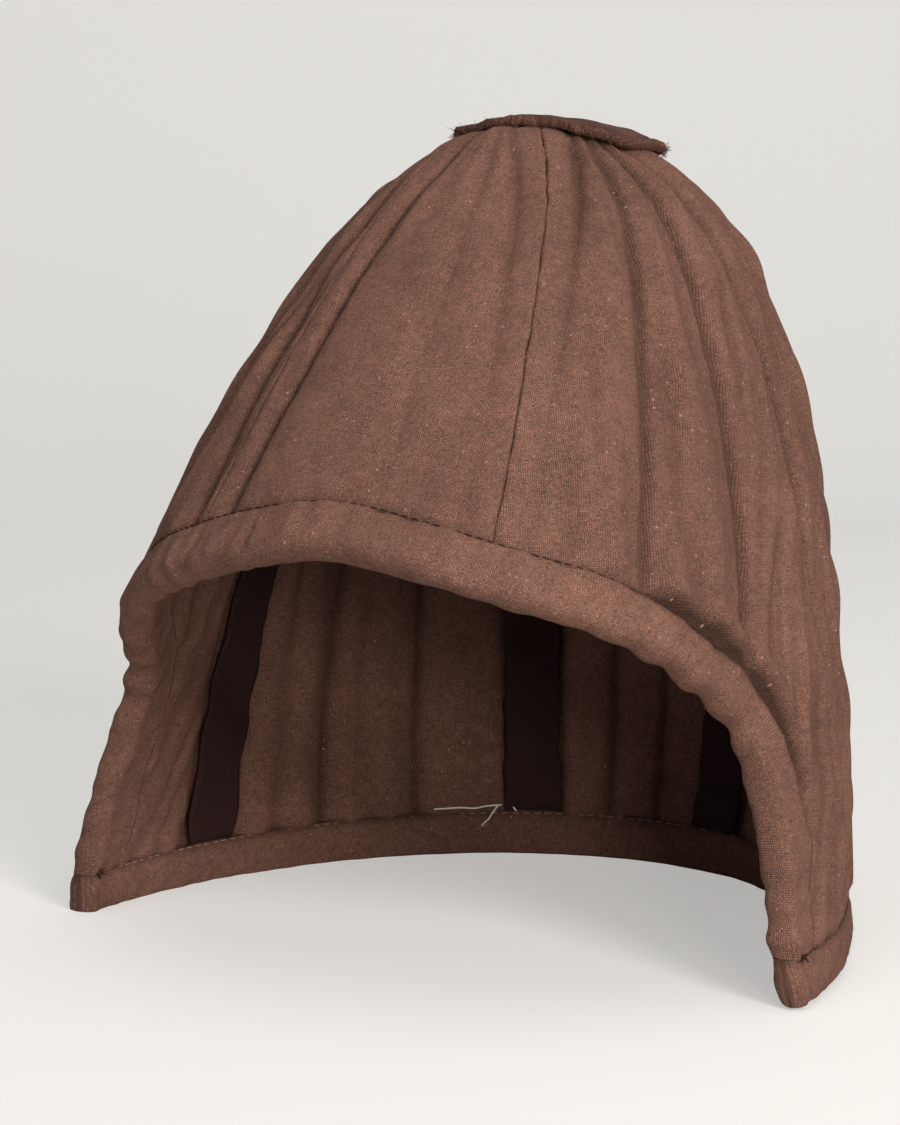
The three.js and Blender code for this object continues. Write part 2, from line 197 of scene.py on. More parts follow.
def envelope_at_origin(turn, reach):
    """Egg-shaped ring at each height: x = side sin(turn), y = middle - length cos(turn), where length is the
    front's or the back's, and the middle moves forward downwards by (reach^2 + reach^4) / 2 of the set-back.
    The apex also lies a little aside, by (1 - reach^2) of the whole step."""
    turn, reach = np.broadcast_arrays(np.asarray(turn, float), np.asarray(reach, float))
    angle, square = np.radians(turn), reach**2
    front = HEM_FRONT_REACH * through_rows(reach, FRONT_SHARES)
    back = HEM_BACK_REACH * through_rows(reach, BACK_SHARES)
    side = HEM_HALF_WIDTH * through_rows(reach, SIDE_SHARES)
    length = np.where(np.cos(angle) > 0, front, back)
    return np.stack(
        [
            side * np.sin(angle) + APEX_ASIDE * (1 - square),
            -APEX_SET_BACK * (square + square**2) / 2 - length * np.cos(angle),
            height_at(reach),
        ],
        -1,
    )


def place_in_frame():
    """Step from the map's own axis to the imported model, by the hem band's middle and its rearmost point."""
    low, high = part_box("hem_band")
    fullest = reach_at(0.25 * HEM_BAND_HEIGHT)
    rear = envelope_at_origin(180.0, fullest)[1] + (HEM_BAND_WALL - WALL) / 2
    return np.array([(low[0] + high[0]) / 2, high[1] - rear, 0.0])


FRAME_STEP = place_in_frame()


def envelope(turn, reach):
    return envelope_at_origin(turn, reach) + FRAME_STEP


def outward(turn, reach):
    """Normal of the envelope by central differences, turned level near the hem so that the underside is
    flat."""
    middle = np.maximum(reach, 2 * REACH_STEP)
    along_turn = envelope(turn + TURN_STEP, middle) - envelope(turn - TURN_STEP, middle)
    upper = np.minimum(middle, 1 - REACH_STEP)
    along_reach = envelope(turn, upper + REACH_STEP) - envelope(turn, upper - REACH_STEP)
    normal = unit(np.cross(along_reach, along_turn))
    normal[..., 2] *= smoothstep(height_at(reach), HEM_BAND_HEIGHT, LEVEL_HEIGHT)
    return unit(normal)


def dent_at(turn, reach):
    """Sum of bells, faded out at the hem and under the patch, and the gathers' swell round the crown."""
    height = height_at(reach) / SHELL_HEIGHT
    total = 0.0
    for middle, level, wide, tall, depth in DENTS:
        across = wrapped(turn - middle) / wide
        total = total + WALL * depth * np.exp(-(across**2) - ((height - level) / tall) ** 2)
    total = total * smoothstep(height, 0, 0.2) * (1 - smoothstep(height, 0.8, 0.95))
    front = bell(wrapped(turn - CROWN_SWELL_TURN), CROWN_SWELL_SPREAD)
    return total + CROWN_SWELL * front * smoothstep(reach, 0.0, 0.08) * (1 - smoothstep(reach, 0.1, 0.3))


def cloth_point(turn, reach, depth):
    """Envelope plus the dent minus the depth, along the outward normal."""
    turn, reach, depth = np.broadcast_arrays(*(np.asarray(v, float) for v in (turn, reach, depth)))
    return envelope(turn, reach) + outward(turn, reach) * (dent_at(turn, reach) - depth)[..., None]


def seam_turn(seam, reach):
    """Turn of a seam, which swings near the crown and again near the hem."""
    crown, middle, hem = seam
    return middle + (hem - middle) * reach**4 + (crown - middle) * (1 - reach) ** 6


def turn_for(length, turn, reach):
    """Degrees of turn that a length along the cloth takes at a place."""
    step = envelope(turn + TURN_STEP, reach) - envelope(turn - TURN_STEP, reach)
    return length * 2 * TURN_STEP / np.maximum(np.linalg.norm(step, axis=-1), 1e-6)


def arc_to(turn_from, reach_from, turn_to, reach_to, pieces=14):
    """Length of the envelope's curve between two places, in straight pieces."""
    total, last = 0.0, envelope(turn_from, reach_from)
    for piece in range(1, pieces + 1):
        f = piece / pieces
        here = envelope(turn_from + (turn_to - turn_from) * f, reach_from + (reach_to - reach_from) * f)
        total = total + np.linalg.norm(here - last, axis=-1)
        last = here
    return total


# The face opening's edge

EDGE_BASE = HEM_BAND_HEIGHT + SEWN_GAP
EDGE_HALF = np.array(OPENING_EDGE) * [TIP_TURN, BROW_HEIGHT - EDGE_BASE] + [0, EDGE_BASE]
EDGE_ROWS = np.concatenate([EDGE_HALF[:0:-1] * [-1, 1], EDGE_HALF])


def edge_place(share):
    """(turn, height) on a Catmull-Rom curve through the edge's rows, from the right tip over the brow to the
    left."""
    last = len(EDGE_ROWS) - 1
    place = np.clip(share, 0, 1) * last
    row = np.minimum(np.floor(place).astype(int), last)
    f = (place - row)[..., None]
    before, here = EDGE_ROWS[np.maximum(row - 1, 0)], EDGE_ROWS[row]
    after, beyond = EDGE_ROWS[np.minimum(row + 1, last)], EDGE_ROWS[np.minimum(row + 2, last)]
    slope_here, slope_after = (after - before) / 2, (beyond - here) / 2
    return (
        (2 * here - 2 * after + slope_here + slope_after) * f**3
        + (-3 * here + 3 * after - 2 * slope_here - slope_after) * f**2
        + slope_here * f
        + here
    )


def inside_edge(share, width):
    """(turn, height) of the place a width inward of the edge, square to it, by four steps over the cloth.
    Near a tip the step turns level, so that the band ends flat on the hem band."""
    share, width = np.broadcast_arrays(np.asarray(share, float), np.asarray(width, float))
    small, pieces = 1e-3, 4
    here = edge_place(share)
    ahead, behind = edge_place(np.minimum(share + small, 1)), edge_place(np.maximum(share - small, 0))
    tangent = unit(
        envelope(ahead[..., 0], reach_at(ahead[..., 1])) - envelope(behind[..., 0], reach_at(behind[..., 1]))
    )
    level = (1 - smoothstep(here[..., 1], EDGE_BASE, LEVEL_HEIGHT))[..., None]
    turn, height = here[..., 0].copy(), here[..., 1].copy()
    side = np.where(here[..., 0] < 0, -1.0, 1.0)[..., None]
    for _ in range(pieces):
        reach = reach_at(height)
        along_turn = (envelope(turn + TURN_STEP, reach) - envelope(turn - TURN_STEP, reach)) / (2 * TURN_STEP)
        above, below = (envelope(turn, reach_at(height + step)) for step in (MM, -MM))
        along_height = (above - below) / (2 * MM)
        square = unit(np.cross(outward(turn, reach), tangent))
        square = unit(square * (1 - level) + unit(along_turn * side) * level)
        # Shares of the two directions in the step, from its products with them
        tt, hh = (along_turn**2).sum(-1), (along_height**2).sum(-1)
        th = (along_turn * along_height).sum(-1)
        st, sh = (square * along_turn).sum(-1), (square * along_height).sum(-1)
        det = tt * hh - th * th
        turn += width / pieces * (st * hh - sh * th) / det
        height = np.maximum(height + width / pieces * (sh * tt - st * th) / det, EDGE_BASE)
    return np.stack([turn, height], -1)


def band_width(share):
    """The turned edge is wider at the wearer's right and narrower at the left."""
    return FACE_BAND_WIDTH + FACE_BAND_TAPER * np.cos(math.pi * share)


EDGE_SHARES = np.linspace(0, 1, 481)
SEWING_LINE = inside_edge(EDGE_SHARES, band_width(EDGE_SHARES))
SEWING_LINE_POINTS = cloth_point(SEWING_LINE[:, 0], reach_at(SEWING_LINE[:, 1]), WALL / 2)


def gore_base(turn):
    """Lowest height of the gores at a turn: on the sewing line of the face band, or on the hem band behind
    it."""
    return np.interp(wrapped(turn), SEWING_LINE[:, 0], SEWING_LINE[:, 1], left=EDGE_BASE, right=EDGE_BASE)


def distance_to_line(points, line):
    """Shortest distance from each point of a grid to the points of a line, a block at a time."""
    flat = points.reshape(-1, 3)
    nearest = np.empty(len(flat))
    block = 4000
    for start in range(0, len(flat), block):
        away = flat[start : start + block, None, :] - line[None]
        nearest[start : start + block] = np.sqrt((away**2).sum(-1).min(-1))
    return nearest.reshape(points.shape[:-1])


# Meshes


def new_object(name, points, faces, material):
    """Smooth object at the origin from vertices and faces."""
    mesh = bpy.data.meshes.new(name)
    mesh.from_pydata(points.reshape(-1, 3), [], faces)
    mesh.polygons.foreach_set("use_smooth", np.full(len(mesh.polygons), True))
    mesh.materials.append(material)
    piece = bpy.data.objects.new(name, mesh)
    bpy.context.scene.collection.objects.link(piece)
    return piece


def build_mesh(name, points, faces, material, cloth_uv=None, hollow=None):
    """Piece of the cap, with an optional UV map in metres of cloth and a stored value for its hollows, which
    the canvas paints as shade.
    """
    piece = new_object(name, points, faces, material)
    mesh = piece.data
    if cloth_uv is not None:
        corner = np.empty(len(mesh.loops), dtype=np.int32)
        mesh.loops.foreach_get("vertex_index", corner)
        layer = mesh.uv_layers.new(name="cloth")
        layer.uv.foreach_set("vector", cloth_uv.reshape(-1, 2)[corner].astype(np.float32).ravel())
    if hollow is not None:
        store = mesh.attributes.new("hollow", "FLOAT", "POINT")
        store.data.foreach_set("value", hollow.astype(np.float32).ravel())
    mesh.validate()
    mesh.update()
    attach(piece, "root")
    return piece


def grid_faces(rows, columns, ring=False):
    """Quads of a grid of rows x columns vertices. In a ring the last column joins the first."""
    column = np.arange(columns if ring else columns - 1)
    a = np.arange(rows - 1)[:, None] * columns + column
    b = np.arange(rows - 1)[:, None] * columns + (column + 1) % columns
    return np.stack([a, b, b + columns, a + columns], -1).reshape(-1, 4)


def enclosed(points, faces):
    """Six times the volume inside a closed surface of quads, positive where they face out."""
    a, b, c, d = (points.reshape(-1, 3)[faces[:, i]] for i in range(4))
    return (np.cross(b, c) * a).sum() + (np.cross(c, d) * a).sum()


def closed_shell(name, outer, inner, material, cloth, hollows=None):
    """Closed piece from an outer grid, an inner grid of the same size behind it, and the rim between them."""
    rows, columns = outer.shape[:2]
    size = rows * columns
    index = np.arange(size).reshape(rows, columns)
    ring = np.concatenate([index[0, :-1], index[:-1, -1], index[-1, :0:-1], index[:0:-1, 0]])
    after = np.roll(ring, -1)
    rim = np.stack([after, ring, ring + size, after + size], -1)
    quads = grid_faces(rows, columns)
    faces = np.concatenate([quads, quads[:, ::-1] + size, rim])
    points = np.concatenate([outer.reshape(-1, 3), inner.reshape(-1, 3)])
    if enclosed(points, faces) <= 0:
        faces = faces[:, ::-1]
    hollow = None if hollows is None else np.concatenate([side.ravel() for side in hollows])
    return build_mesh(name, points, faces, material, np.concatenate([cloth.reshape(-1, 2)] * 2), hollow)


def tube_faces(rings, sides):
    """Quads between a tube's rings of points, and fans of triangles from each end to the two last points."""
    here, top = np.arange(sides), (rings - 1) * sides
    after = (here + 1) % sides
    first = np.stack([np.full(sides, rings * sides), after, here], -1)
    last = np.stack([np.full(sides, rings * sides + 1), top + here, top + after], -1)
    return grid_faces(rings, sides, ring=True), np.concatenate([first, last])


def closed_tube(points, rings, sides):
    """Faces of a tube and its two ends, facing out."""
    quads, fans = tube_faces(rings, sides)
    if enclosed(points, quads) <= 0:
        quads, fans = quads[:, ::-1], fans[:, ::-1]
    return quads.tolist() + fans.tolist()


def circles(side, up, sides):
    """Unit circle of points about each place of a line, from two directions square to it."""
    a = np.arange(sides) * 2 * math.pi / sides
    return side[:, None] * np.cos(a)[None, :, None] + up[:, None] * np.sin(a)[None, :, None]


def copied(faces, copies, size):
    """The faces of one small piece of size vertices, for each of its copies."""
    return (faces[None] + np.arange(copies)[:, None, None] * size).reshape(-1, faces.shape[1]).tolist()


# Shading


def add_node(tree, kind, sockets, **settings):
    """New node with its settings, its sockets set to numbers or linked to other sockets, by place or by
    name."""
    node = tree.nodes.new("ShaderNode" + kind)
    for name, value in settings.items():
        setattr(node, name, value)
    for name, value in sockets.items() if isinstance(sockets, dict) else enumerate(sockets):
        if isinstance(value, bpy.types.NodeSocket):
            tree.links.new(value, node.inputs[name])
        else:
            node.inputs[name].default_value = value
    return node


def node_math(tree, operation, *values):
    """Result of a math node on numbers or sockets."""
    return add_node(tree, "Math", values, operation=operation).outputs[0]


def node_range(tree, value, from_min, from_max, to_min, to_max):
    """The value moved from one range to another and held within it."""
    return add_node(tree, "MapRange", (value, from_min, from_max, to_min, to_max)).outputs[0]


def node_noise(tree, vector, scale, detail=2.0, roughness=0.5):
    sockets = {"Vector": vector, "Scale": scale, "Detail": detail, "Roughness": roughness}
    return add_node(tree, "TexNoise", sockets).outputs["Fac"]


def node_vector(tree, x, y, z=0.0):
    return add_node(tree, "CombineXYZ", (x, y, z)).outputs[0]


def plain_weave():
    """Node group of a plain weave on a UV map in metres. In each cell of one thread's pitch one thread lies
    on top, by turns along and across. Height is a dome, longer along the top thread. Shade is 1 for the mean
    colour: each thread has its own shade and slubs, the threads across get painted light and the gaps painted
    shade. Nep is 1 on small pale flecks."""
    tree = bpy.data.node_groups.new("Plain weave", "ShaderNodeTree")
    face = tree.interface
    for name, kind in (("Cloth", "NodeSocketVector"), ("Pitch", "NodeSocketFloat")):
        face.new_socket(name, in_out="INPUT", socket_type=kind)
    for name in ("Height", "Shade", "Nep"):
        face.new_socket(name, in_out="OUTPUT", socket_type="NodeSocketFloat")
    start, end = tree.nodes.new("NodeGroupInput"), tree.nodes.new("NodeGroupOutput")
    cloth, pitch = start.outputs["Cloth"], start.outputs["Pitch"]
    calc, noise = partial(node_math, tree), partial(node_noise, tree)

    # Thread numbers across and along, from places in pitches that wander a little
    place = add_node(tree, "SeparateXYZ", (cloth,))
    wander = 2.4
    s, t = (
        calc("MULTIPLY_ADD", calc("SUBTRACT", noise(cloth, scale, 4.0, 0.6), 0.5), wander,
             calc("DIVIDE", place.outputs[i], pitch))
        for i, scale in ((0, 120.0), (1, 97.0))
    )
    row, column = calc("FLOOR", s), calc("FLOOR", t)
    across, along = (calc("MULTIPLY_ADD", calc("FRACT", v), 2.0, -1.0) for v in (s, t))
    parity = calc("PINGPONG", calc("ADD", row, column), 1.0)

    def fall(value, power):
        """1 - |value|^power"""
        return calc("SUBTRACT", 1.0, calc("POWER", calc("ABSOLUTE", value), power))

    def on_top(warp, weft):
        """The warp's value where the warp lies on top, and the weft's elsewhere."""
        rest = calc("SUBTRACT", 1.0, parity)
        return calc("ADD", calc("MULTIPLY", warp, parity), calc("MULTIPLY", weft, rest))

    def own_value(x, y):
        """Random value of a pair of whole numbers."""
        pair = node_vector(tree, x, y)
        return add_node(tree, "TexWhiteNoise", {"Vector": pair}, noise_dimensions="2D").outputs[0]

    def thread_shade(number, place, seed):
        """A thread's own shade, from its number, and slubs that run along it."""
        slub = noise(node_vector(tree, number, calc("MULTIPLY", place, 0.16), seed), 1.0, 1.0)
        return calc("ADD", calc("MULTIPLY", own_value(number, seed), 0.12), slub)

    short, long = 2.0, 3.5
    height = on_top(
        calc("MULTIPLY", fall(across, short), fall(along, long)),
        calc("MULTIPLY", fall(across, long), fall(along, short)),
    )
    tree.links.new(height, end.inputs["Height"])

    lit = on_top(thread_shade(row, t, 3.0), thread_shade(column, s, 8.0))
    shade = node_range(tree, lit, 0.25, 0.9, 0.62, 1.36)
    # Single thread crossings differ too
    shade = calc("MULTIPLY_ADD", calc("SUBTRACT", own_value(row, column), 0.5), 0.36, shade)
    # Painted light and shade: the threads across stand higher and are painted lighter than those along, as
    # if they catch more light, and the gaps are painted dark
    shade = calc("MULTIPLY", shade, node_range(tree, parity, 0.0, 1.0, 1.09, 0.94))
    shade = calc("MULTIPLY", shade, node_range(tree, height, 0.0, 0.8, 0.5, 1.14))
    tree.links.new(shade, end.inputs["Shade"])

    # A fleck lies in about one cell of eleven, small by a number of the cell's own
    fleck = add_node(tree, "TexVoronoi", {"Vector": cloth, "Scale": 420.0}, voronoi_dimensions="2D")
    tint = add_node(tree, "SeparateColor", (fleck.outputs["Color"],))
    small = calc("LESS_THAN", fleck.outputs["Distance"], calc("MULTIPLY", tint.outputs[1], 0.16))
    chosen = calc("GREATER_THAN", tint.outputs[0], 0.91)
    tree.links.new(calc("MULTIPLY", small, chosen), end.inputs["Nep"])
    return tree


WEAVE = plain_weave()


def new_material(name, colour, roughness, sheen):
    """Material with its Principled node set to constants, and that node and the tree."""
    material = bpy.data.materials.new(name)
    material.use_nodes = True
    shader = material.node_tree.nodes["Principled BSDF"]
    for socket, value in (
        ("Base Color", (*colour, 1.0)), ("Roughness", roughness), ("Specular IOR Level", 0.2),
        ("Sheen Weight", sheen), ("Sheen Roughness", 0.5),
        ("Sheen Tint", (*(min(2.2 * c, 1.0) for c in colour), 1.0)),
    ):
        shader.inputs[socket].default_value = value
    material.diffuse_color = (*colour, 1.0)
    return material, material.node_tree, shader


def add_bump(tree, shader, height, strength, distance):
    bump = add_node(tree, "Bump", {"Strength": strength, "Distance": distance, "Height": height})
    tree.links.new(bump.outputs[0], shader.inputs["Normal"])


def canvas_material(name, colour, pitch, depth, mottle=0.16):
    """Heavy plain weave: the weave's shade and flecks over a mottled colour, with painted shade that darkens
    it in the stitched hollows."""
    material, tree, shader = new_material(name, colour, 0.92, 0.12)
    cloth = add_node(tree, "UVMap", (), uv_map="cloth")
    weave = add_node(tree, "Group", (), node_tree=WEAVE)
    tree.links.new(cloth.outputs[0], weave.inputs["Cloth"])
    weave.inputs["Pitch"].default_value = pitch
    hollow = add_node(tree, "Attribute", (), attribute_name="hollow")
    place = tree.nodes.new("ShaderNodeTexCoord").outputs["Object"]
    broad = node_range(tree, node_noise(tree, place, 22.0, 3.0), 0.3, 0.7, 1.0 - mottle, 1.0 + mottle)
    fine_mottle = 0.6 * mottle
    fine = node_noise(tree, place, 160.0, 3.0, 0.6)
    fine = node_range(tree, fine, 0.3, 0.7, 1.0 - fine_mottle, 1.0 + fine_mottle)
    # Painted shade: the stored hollow value darkens the colour in the stitched lines, wrinkles, seams and
    # creases
    painted_shade = node_range(tree, hollow.outputs["Fac"], 0.0, 1.6, 1.0, 0.28)
    value = node_math(tree, "MULTIPLY", node_math(tree, "MULTIPLY", broad, fine), painted_shade)
    value = node_math(tree, "MULTIPLY", value, weave.outputs["Shade"])
    scaled = add_node(tree, "VectorMath", {0: colour, "Scale": value}, operation="SCALE")
    pale = (*(c * 1.6 + 0.1 for c in colour), 1.0)
    fleck = node_math(tree, "MULTIPLY", weave.outputs["Nep"], 0.7)
    mixed = add_node(tree, "Mix", {0: fleck, 6: scaled.outputs[0], 7: pale}, data_type="RGBA")
    tree.links.new(mixed.outputs[2], shader.inputs["Base Color"])
    fuzz = node_math(tree, "MULTIPLY", node_noise(tree, place, 2600.0, 2.0), 0.5)
    add_bump(tree, shader, node_math(tree, "ADD", weave.outputs["Height"], fuzz), 0.95, depth)
    return material


def tape_material():
    """Smooth dark tape with a fine rib across it."""
    material, tree, shader = new_material("Dark tape", (0.034, 0.014, 0.013), 0.85, 0.08)
    cloth = add_node(tree, "UVMap", (), uv_map="cloth")
    place = add_node(tree, "SeparateXYZ", (cloth.outputs[0],))
    rib = node_math(tree, "SINE", node_math(tree, "MULTIPLY", place.outputs[1], 2 * math.pi / (0.5 * MM)))
    add_bump(tree, shader, rib, 0.3, 0.05 * MM)
    return material


CANVAS = canvas_material("Canvas", (0.254, 0.125, 0.0905), 0.58 * MM, 0.2 * MM)
PATCH = canvas_material("Patch canvas", (0.165, 0.079, 0.06), 0.62 * MM, 0.25 * MM, 0.3)
TAPE = tape_material()
# Painted shade in part: the canvas thread is darker than the canvas, for the shaded holes of its stitches
CANVAS_THREAD = new_material("Canvas thread", (0.12, 0.055, 0.04), 0.85, 0.0)[0]
TAPE_THREAD = new_material("Tape thread", (0.055, 0.03, 0.025), 0.8, 0.1)[0]
PATCH_THREAD = new_material("Patch thread", (0.14, 0.065, 0.048), 0.85, 0.1)[0]
FUZZ = new_material("Canvas fuzz", (0.3, 0.16, 0.125), 0.9, 0.0)[0]
# Painted shade: the dark thread of the outside stitch rows stands in for shaded stitch holes; the tip knots
# use it too
DARK_THREAD_AND_HOLE_SHADE = new_material("Dark thread and painted hole shade", (0.045, 0.02, 0.016), 0.8, 0.0)[0]
HEM_THREAD = new_material("Pinkish thread", (0.36, 0.2, 0.16), 0.75, 0.2)[0]
WHITE_THREAD = new_material("White thread", (0.92, 0.9, 0.88), 0.6, 0.6)[0]

# Gores. Each has six lines, numbered from seam to seam: a seam, the stitches of its strip, two quilting
# lines, the stitches of the other strip and the other seam

LINE_COUNT = 6
LAST_CELL = LINE_COUNT - 2
COLUMNS = {"strip": 18, "channel": 22, "flap": 64}
FLAP_CELLS = {"gore_front_left": 3, "gore_front_right": 1}
ROWS = 158
CROWN_REACH = 0.035
LINE_TOP_REACH = 0.13

# How high the padding stands at the lines, as a share of its full height: outside at the foot, there low on
# the flaps, inside at the foot, and at a soft line of stitches
FOOT_CREST = 0.55
FLAP_FOOT_CREST = 0.97
INNER_FOOT_CREST = 0.99
LINE_CREST = 0.5
CREST_SPREAD, CREST_POWER = 5.2 * MM, 1.6

FOOT_TUCK = 1.0 * MM
FLAP_TUCK = 0.5
FLAP_TUCK_TURNS = 60, 75
FLAP_HEIGHTS = 35 * MM, 62 * MM
TEMPLE_TURN, TEMPLE_SPREAD = 70, 16.5
TEMPLE_SWELL, TEMPLE_SWELL_SIZE = 3.2 * MM, 4.2 * MM

SEAM_GAP = 0.1 * MM
SEAM_WANDER, SEAM_WANDER_SIZE = 0.1 * MM, 7 * MM
SEAM_GROOVE, SEAM_EDGE = 1.2 * MM, 0.35 * MM
STITCH_GROOVE, FIRM_STITCH_GROOVE, STITCH_SPREAD = 0.35 * MM, 1.7 * MM, 1.6 * MM
LEAST_HALF = 0.4 * MM

# Unevenness of the cloth, each as a swing and the size of its waves
PUFF, PUFF_SIZE = 0.45 * MM, 30 * MM
GATHER, GATHER_SIZE = 0.25 * MM, 9 * MM
CREASE, CREASE_SIZE = 0.3 * MM, 11 * MM
WRINKLE, WRINKLE_SIZE = 0.55 * MM, 8 * MM
RIPPLE, RIPPLE_SIZE = 0.75 * MM, 12 * MM
TUCK, TUCK_SIZE = 0.6 * MM, 13 * MM

# How firmly each line of a gore draws the cloth in outside, where not 1: low down and at the crown. The
# forehead is nearly smooth
LINE_STRENGTHS = {
    "gore_front": ((1, 1, 0.1, 0.3, 0.6, 1), (1, 1, 0.15, 0.5, 1, 1)),
    "gore_front_left": ((1, 0.55, 0.85, 1, 1, 1), (1, 1, 0.8, 1, 1, 1)),
}
EVEN_STRENGTHS = ((1,) * LINE_COUNT,) * 2


def deep_side(turn):
    """1 at the wearer's left temple, where the cloth swells over the edge and its stitches lie deep."""
    return bell(turn - TEMPLE_TURN, TEMPLE_SPREAD, 4)


def foot_crest(turn, height):
    """How far the cloth stands up on the sewing line of the face edge outside: low at the temple, and nearly
    full low on the flaps, where the line fades."""
    flap = 1 - smoothstep(height, *FLAP_HEIGHTS)
    flap = flap * (1 - smoothstep(np.abs(turn), TIP_TURN - 3, TIP_TURN + 3))
    return (FOOT_CREST + (FLAP_FOOT_CREST - FOOT_CREST) * flap) * (1 - deep_side(turn) * (1 - flap))


def sewn_half(crest):
    """Half the cloth's thickness on a sewing line where the padding stands up by that share."""
    return (STITCHED_WALL + (WALL - STITCHED_WALL) * crest) / 2


def gore_columns(name):
    """Cell coordinate of each column, from 0 at one seam to 5 at the other with a stitched line at each whole
    number, closer together near the lines."""
    places = [0.0]
    for cell in range(LINE_COUNT - 1):
        kind = "flap" if cell == FLAP_CELLS.get(name) else "strip" if cell in (0, LAST_CELL) else "channel"
        f = np.arange(1, COLUMNS[kind] + 1) / COLUMNS[kind]
        if cell == 0:
            f = f**2.2
        elif cell == LAST_CELL:
            f = 1 - (1 - f) ** 2.2
        else:
            f = 0.65 * (0.5 - 0.5 * np.cos(math.pi * f)) + 0.35 * f
        places.extend(cell + f)
    return np.array(places)


def line_turns(start, end, reach):
    """Turns of the six lines of a gore at a reach."""
    first, last = seam_turn(start, reach), seam_turn(end, reach)
    wander = SEAM_WANDER * rolling(reach * CAP_HEIGHT, 0, SEAM_WANDER_SIZE, 29)
    first = first + turn_for(SEAM_GAP / 2 + wander, first, reach)
    last = last - turn_for(SEAM_GAP / 2 - wander, last, reach)
    widest = (last - first) / 2 * 0.6
    near = first + np.minimum(turn_for(SEAM_STRIP, first, reach), widest)
    far = last - np.minimum(turn_for(SEAM_STRIP, last, reach), widest)
    return np.stack([first, near, near + (far - near) / 3, near + (far - near) * 2 / 3, far, last])


def lines_beside(lines, cell):
    """Turns of the lines on both sides of each cell."""
    return (np.take_along_axis(lines, cell[None] + step, 0)[0] for step in (0, 1))


def cell_turn(cell, start, end, reach):
    whole = np.clip(np.floor(cell).astype(int), 0, LAST_CELL)
    here, after = lines_beside(line_turns(start, end, reach), whole)
    return here + (after - here) * (cell - whole)


def cloth_base(turn):
    """Lowest height of the gores' cloth: a little under the sewing line and past it on the flaps, tucked
    under."""
    side = wrapped(turn)
    past = np.sign(side) * FLAP_TUCK * smoothstep(np.abs(side), *FLAP_TUCK_TURNS)
    return gore_base(turn + past) - FOOT_TUCK


def foot_of(cell, start, end):
    """Reach at which each cell coordinate meets the cloth's base, by halving."""
    low, high = np.full(len(cell), CROWN_REACH), np.ones(len(cell))
    for _ in range(30):
        middle = (low + high) / 2
        above = height_at(middle) > cloth_base(cell_turn(cell, start, end, middle))
        low, high = np.where(above, middle, low), np.where(above, high, middle)
    return low


def foot_cells(name, places, start, end):
    """Cell coordinate at which each column starts at the foot. On a gore with a flap the columns behind the
    brow are spread along the flap's edge and the hem instead, and lean back from there to their places at the
    crown."""
    if name not in FLAP_CELLS:
        return places
    last = LINE_COUNT - 1
    mirrored = name == "gore_front_right"
    from_front = last - places[::-1] if mirrored else places
    fine = np.linspace(0, last, 3000)
    cell = last - fine if mirrored else fine
    foot = foot_of(cell, start, end)
    turn = cell_turn(cell, start, end, foot)
    length = length_along(cloth_point(turn, foot, WALL / 2))
    begin = fine[np.argmax(np.abs(turn) > 68)]
    numbers = np.arange(len(from_front))
    first, first_length = np.interp(begin, from_front, numbers), np.interp(begin, fine, length)
    by_number = (np.interp(fine, from_front, numbers) - first) / (numbers[-1] - first)
    by_length = (length - first_length) / (length[-1] - first_length)
    spread = 0.35 * by_number + 0.65 * by_length
    share = (numbers - first) / (numbers[-1] - first)
    cells = np.where(share > 0, np.interp(share, spread, fine), from_front)
    cells[-1] = last
    return (last - cells)[::-1] if mirrored else cells


def gore_grid(name, start, end):
    """Turn and reach of each place of a gore's grid, from the foot to the crown."""
    places = gore_columns(name)
    first = foot_cells(name, places, start, end)
    foot = foot_of(first, start, end)
    f = np.linspace(0, 1, ROWS)[:, None]
    f = 0.25 * f**2 + 0.75 * f
    cell = first + (places - first) * (1 - (1 - f) ** 2.2)
    reach = foot + (CROWN_REACH - foot) * f
    return cell_turn(cell, start, end, reach), reach


def line_strength(name, cell, part, reach):
    """How firmly the lines beside a place draw the cloth in, blended across its cell and up the gore."""
    strength, low_share = 0.0, smoothstep(reach, 0.25, 0.5)
    for firmness, lent in zip(LINE_STRENGTHS.get(name, EVEN_STRENGTHS), (low_share, 1 - low_share)):
        row = np.array(firmness, float)
        between = row[cell] * (1 - part) + row[cell + 1] * part
        strength = strength + np.where(cell == 0, row[1], np.where(cell == LAST_CELL, row[-2], between)) * lent
    return strength


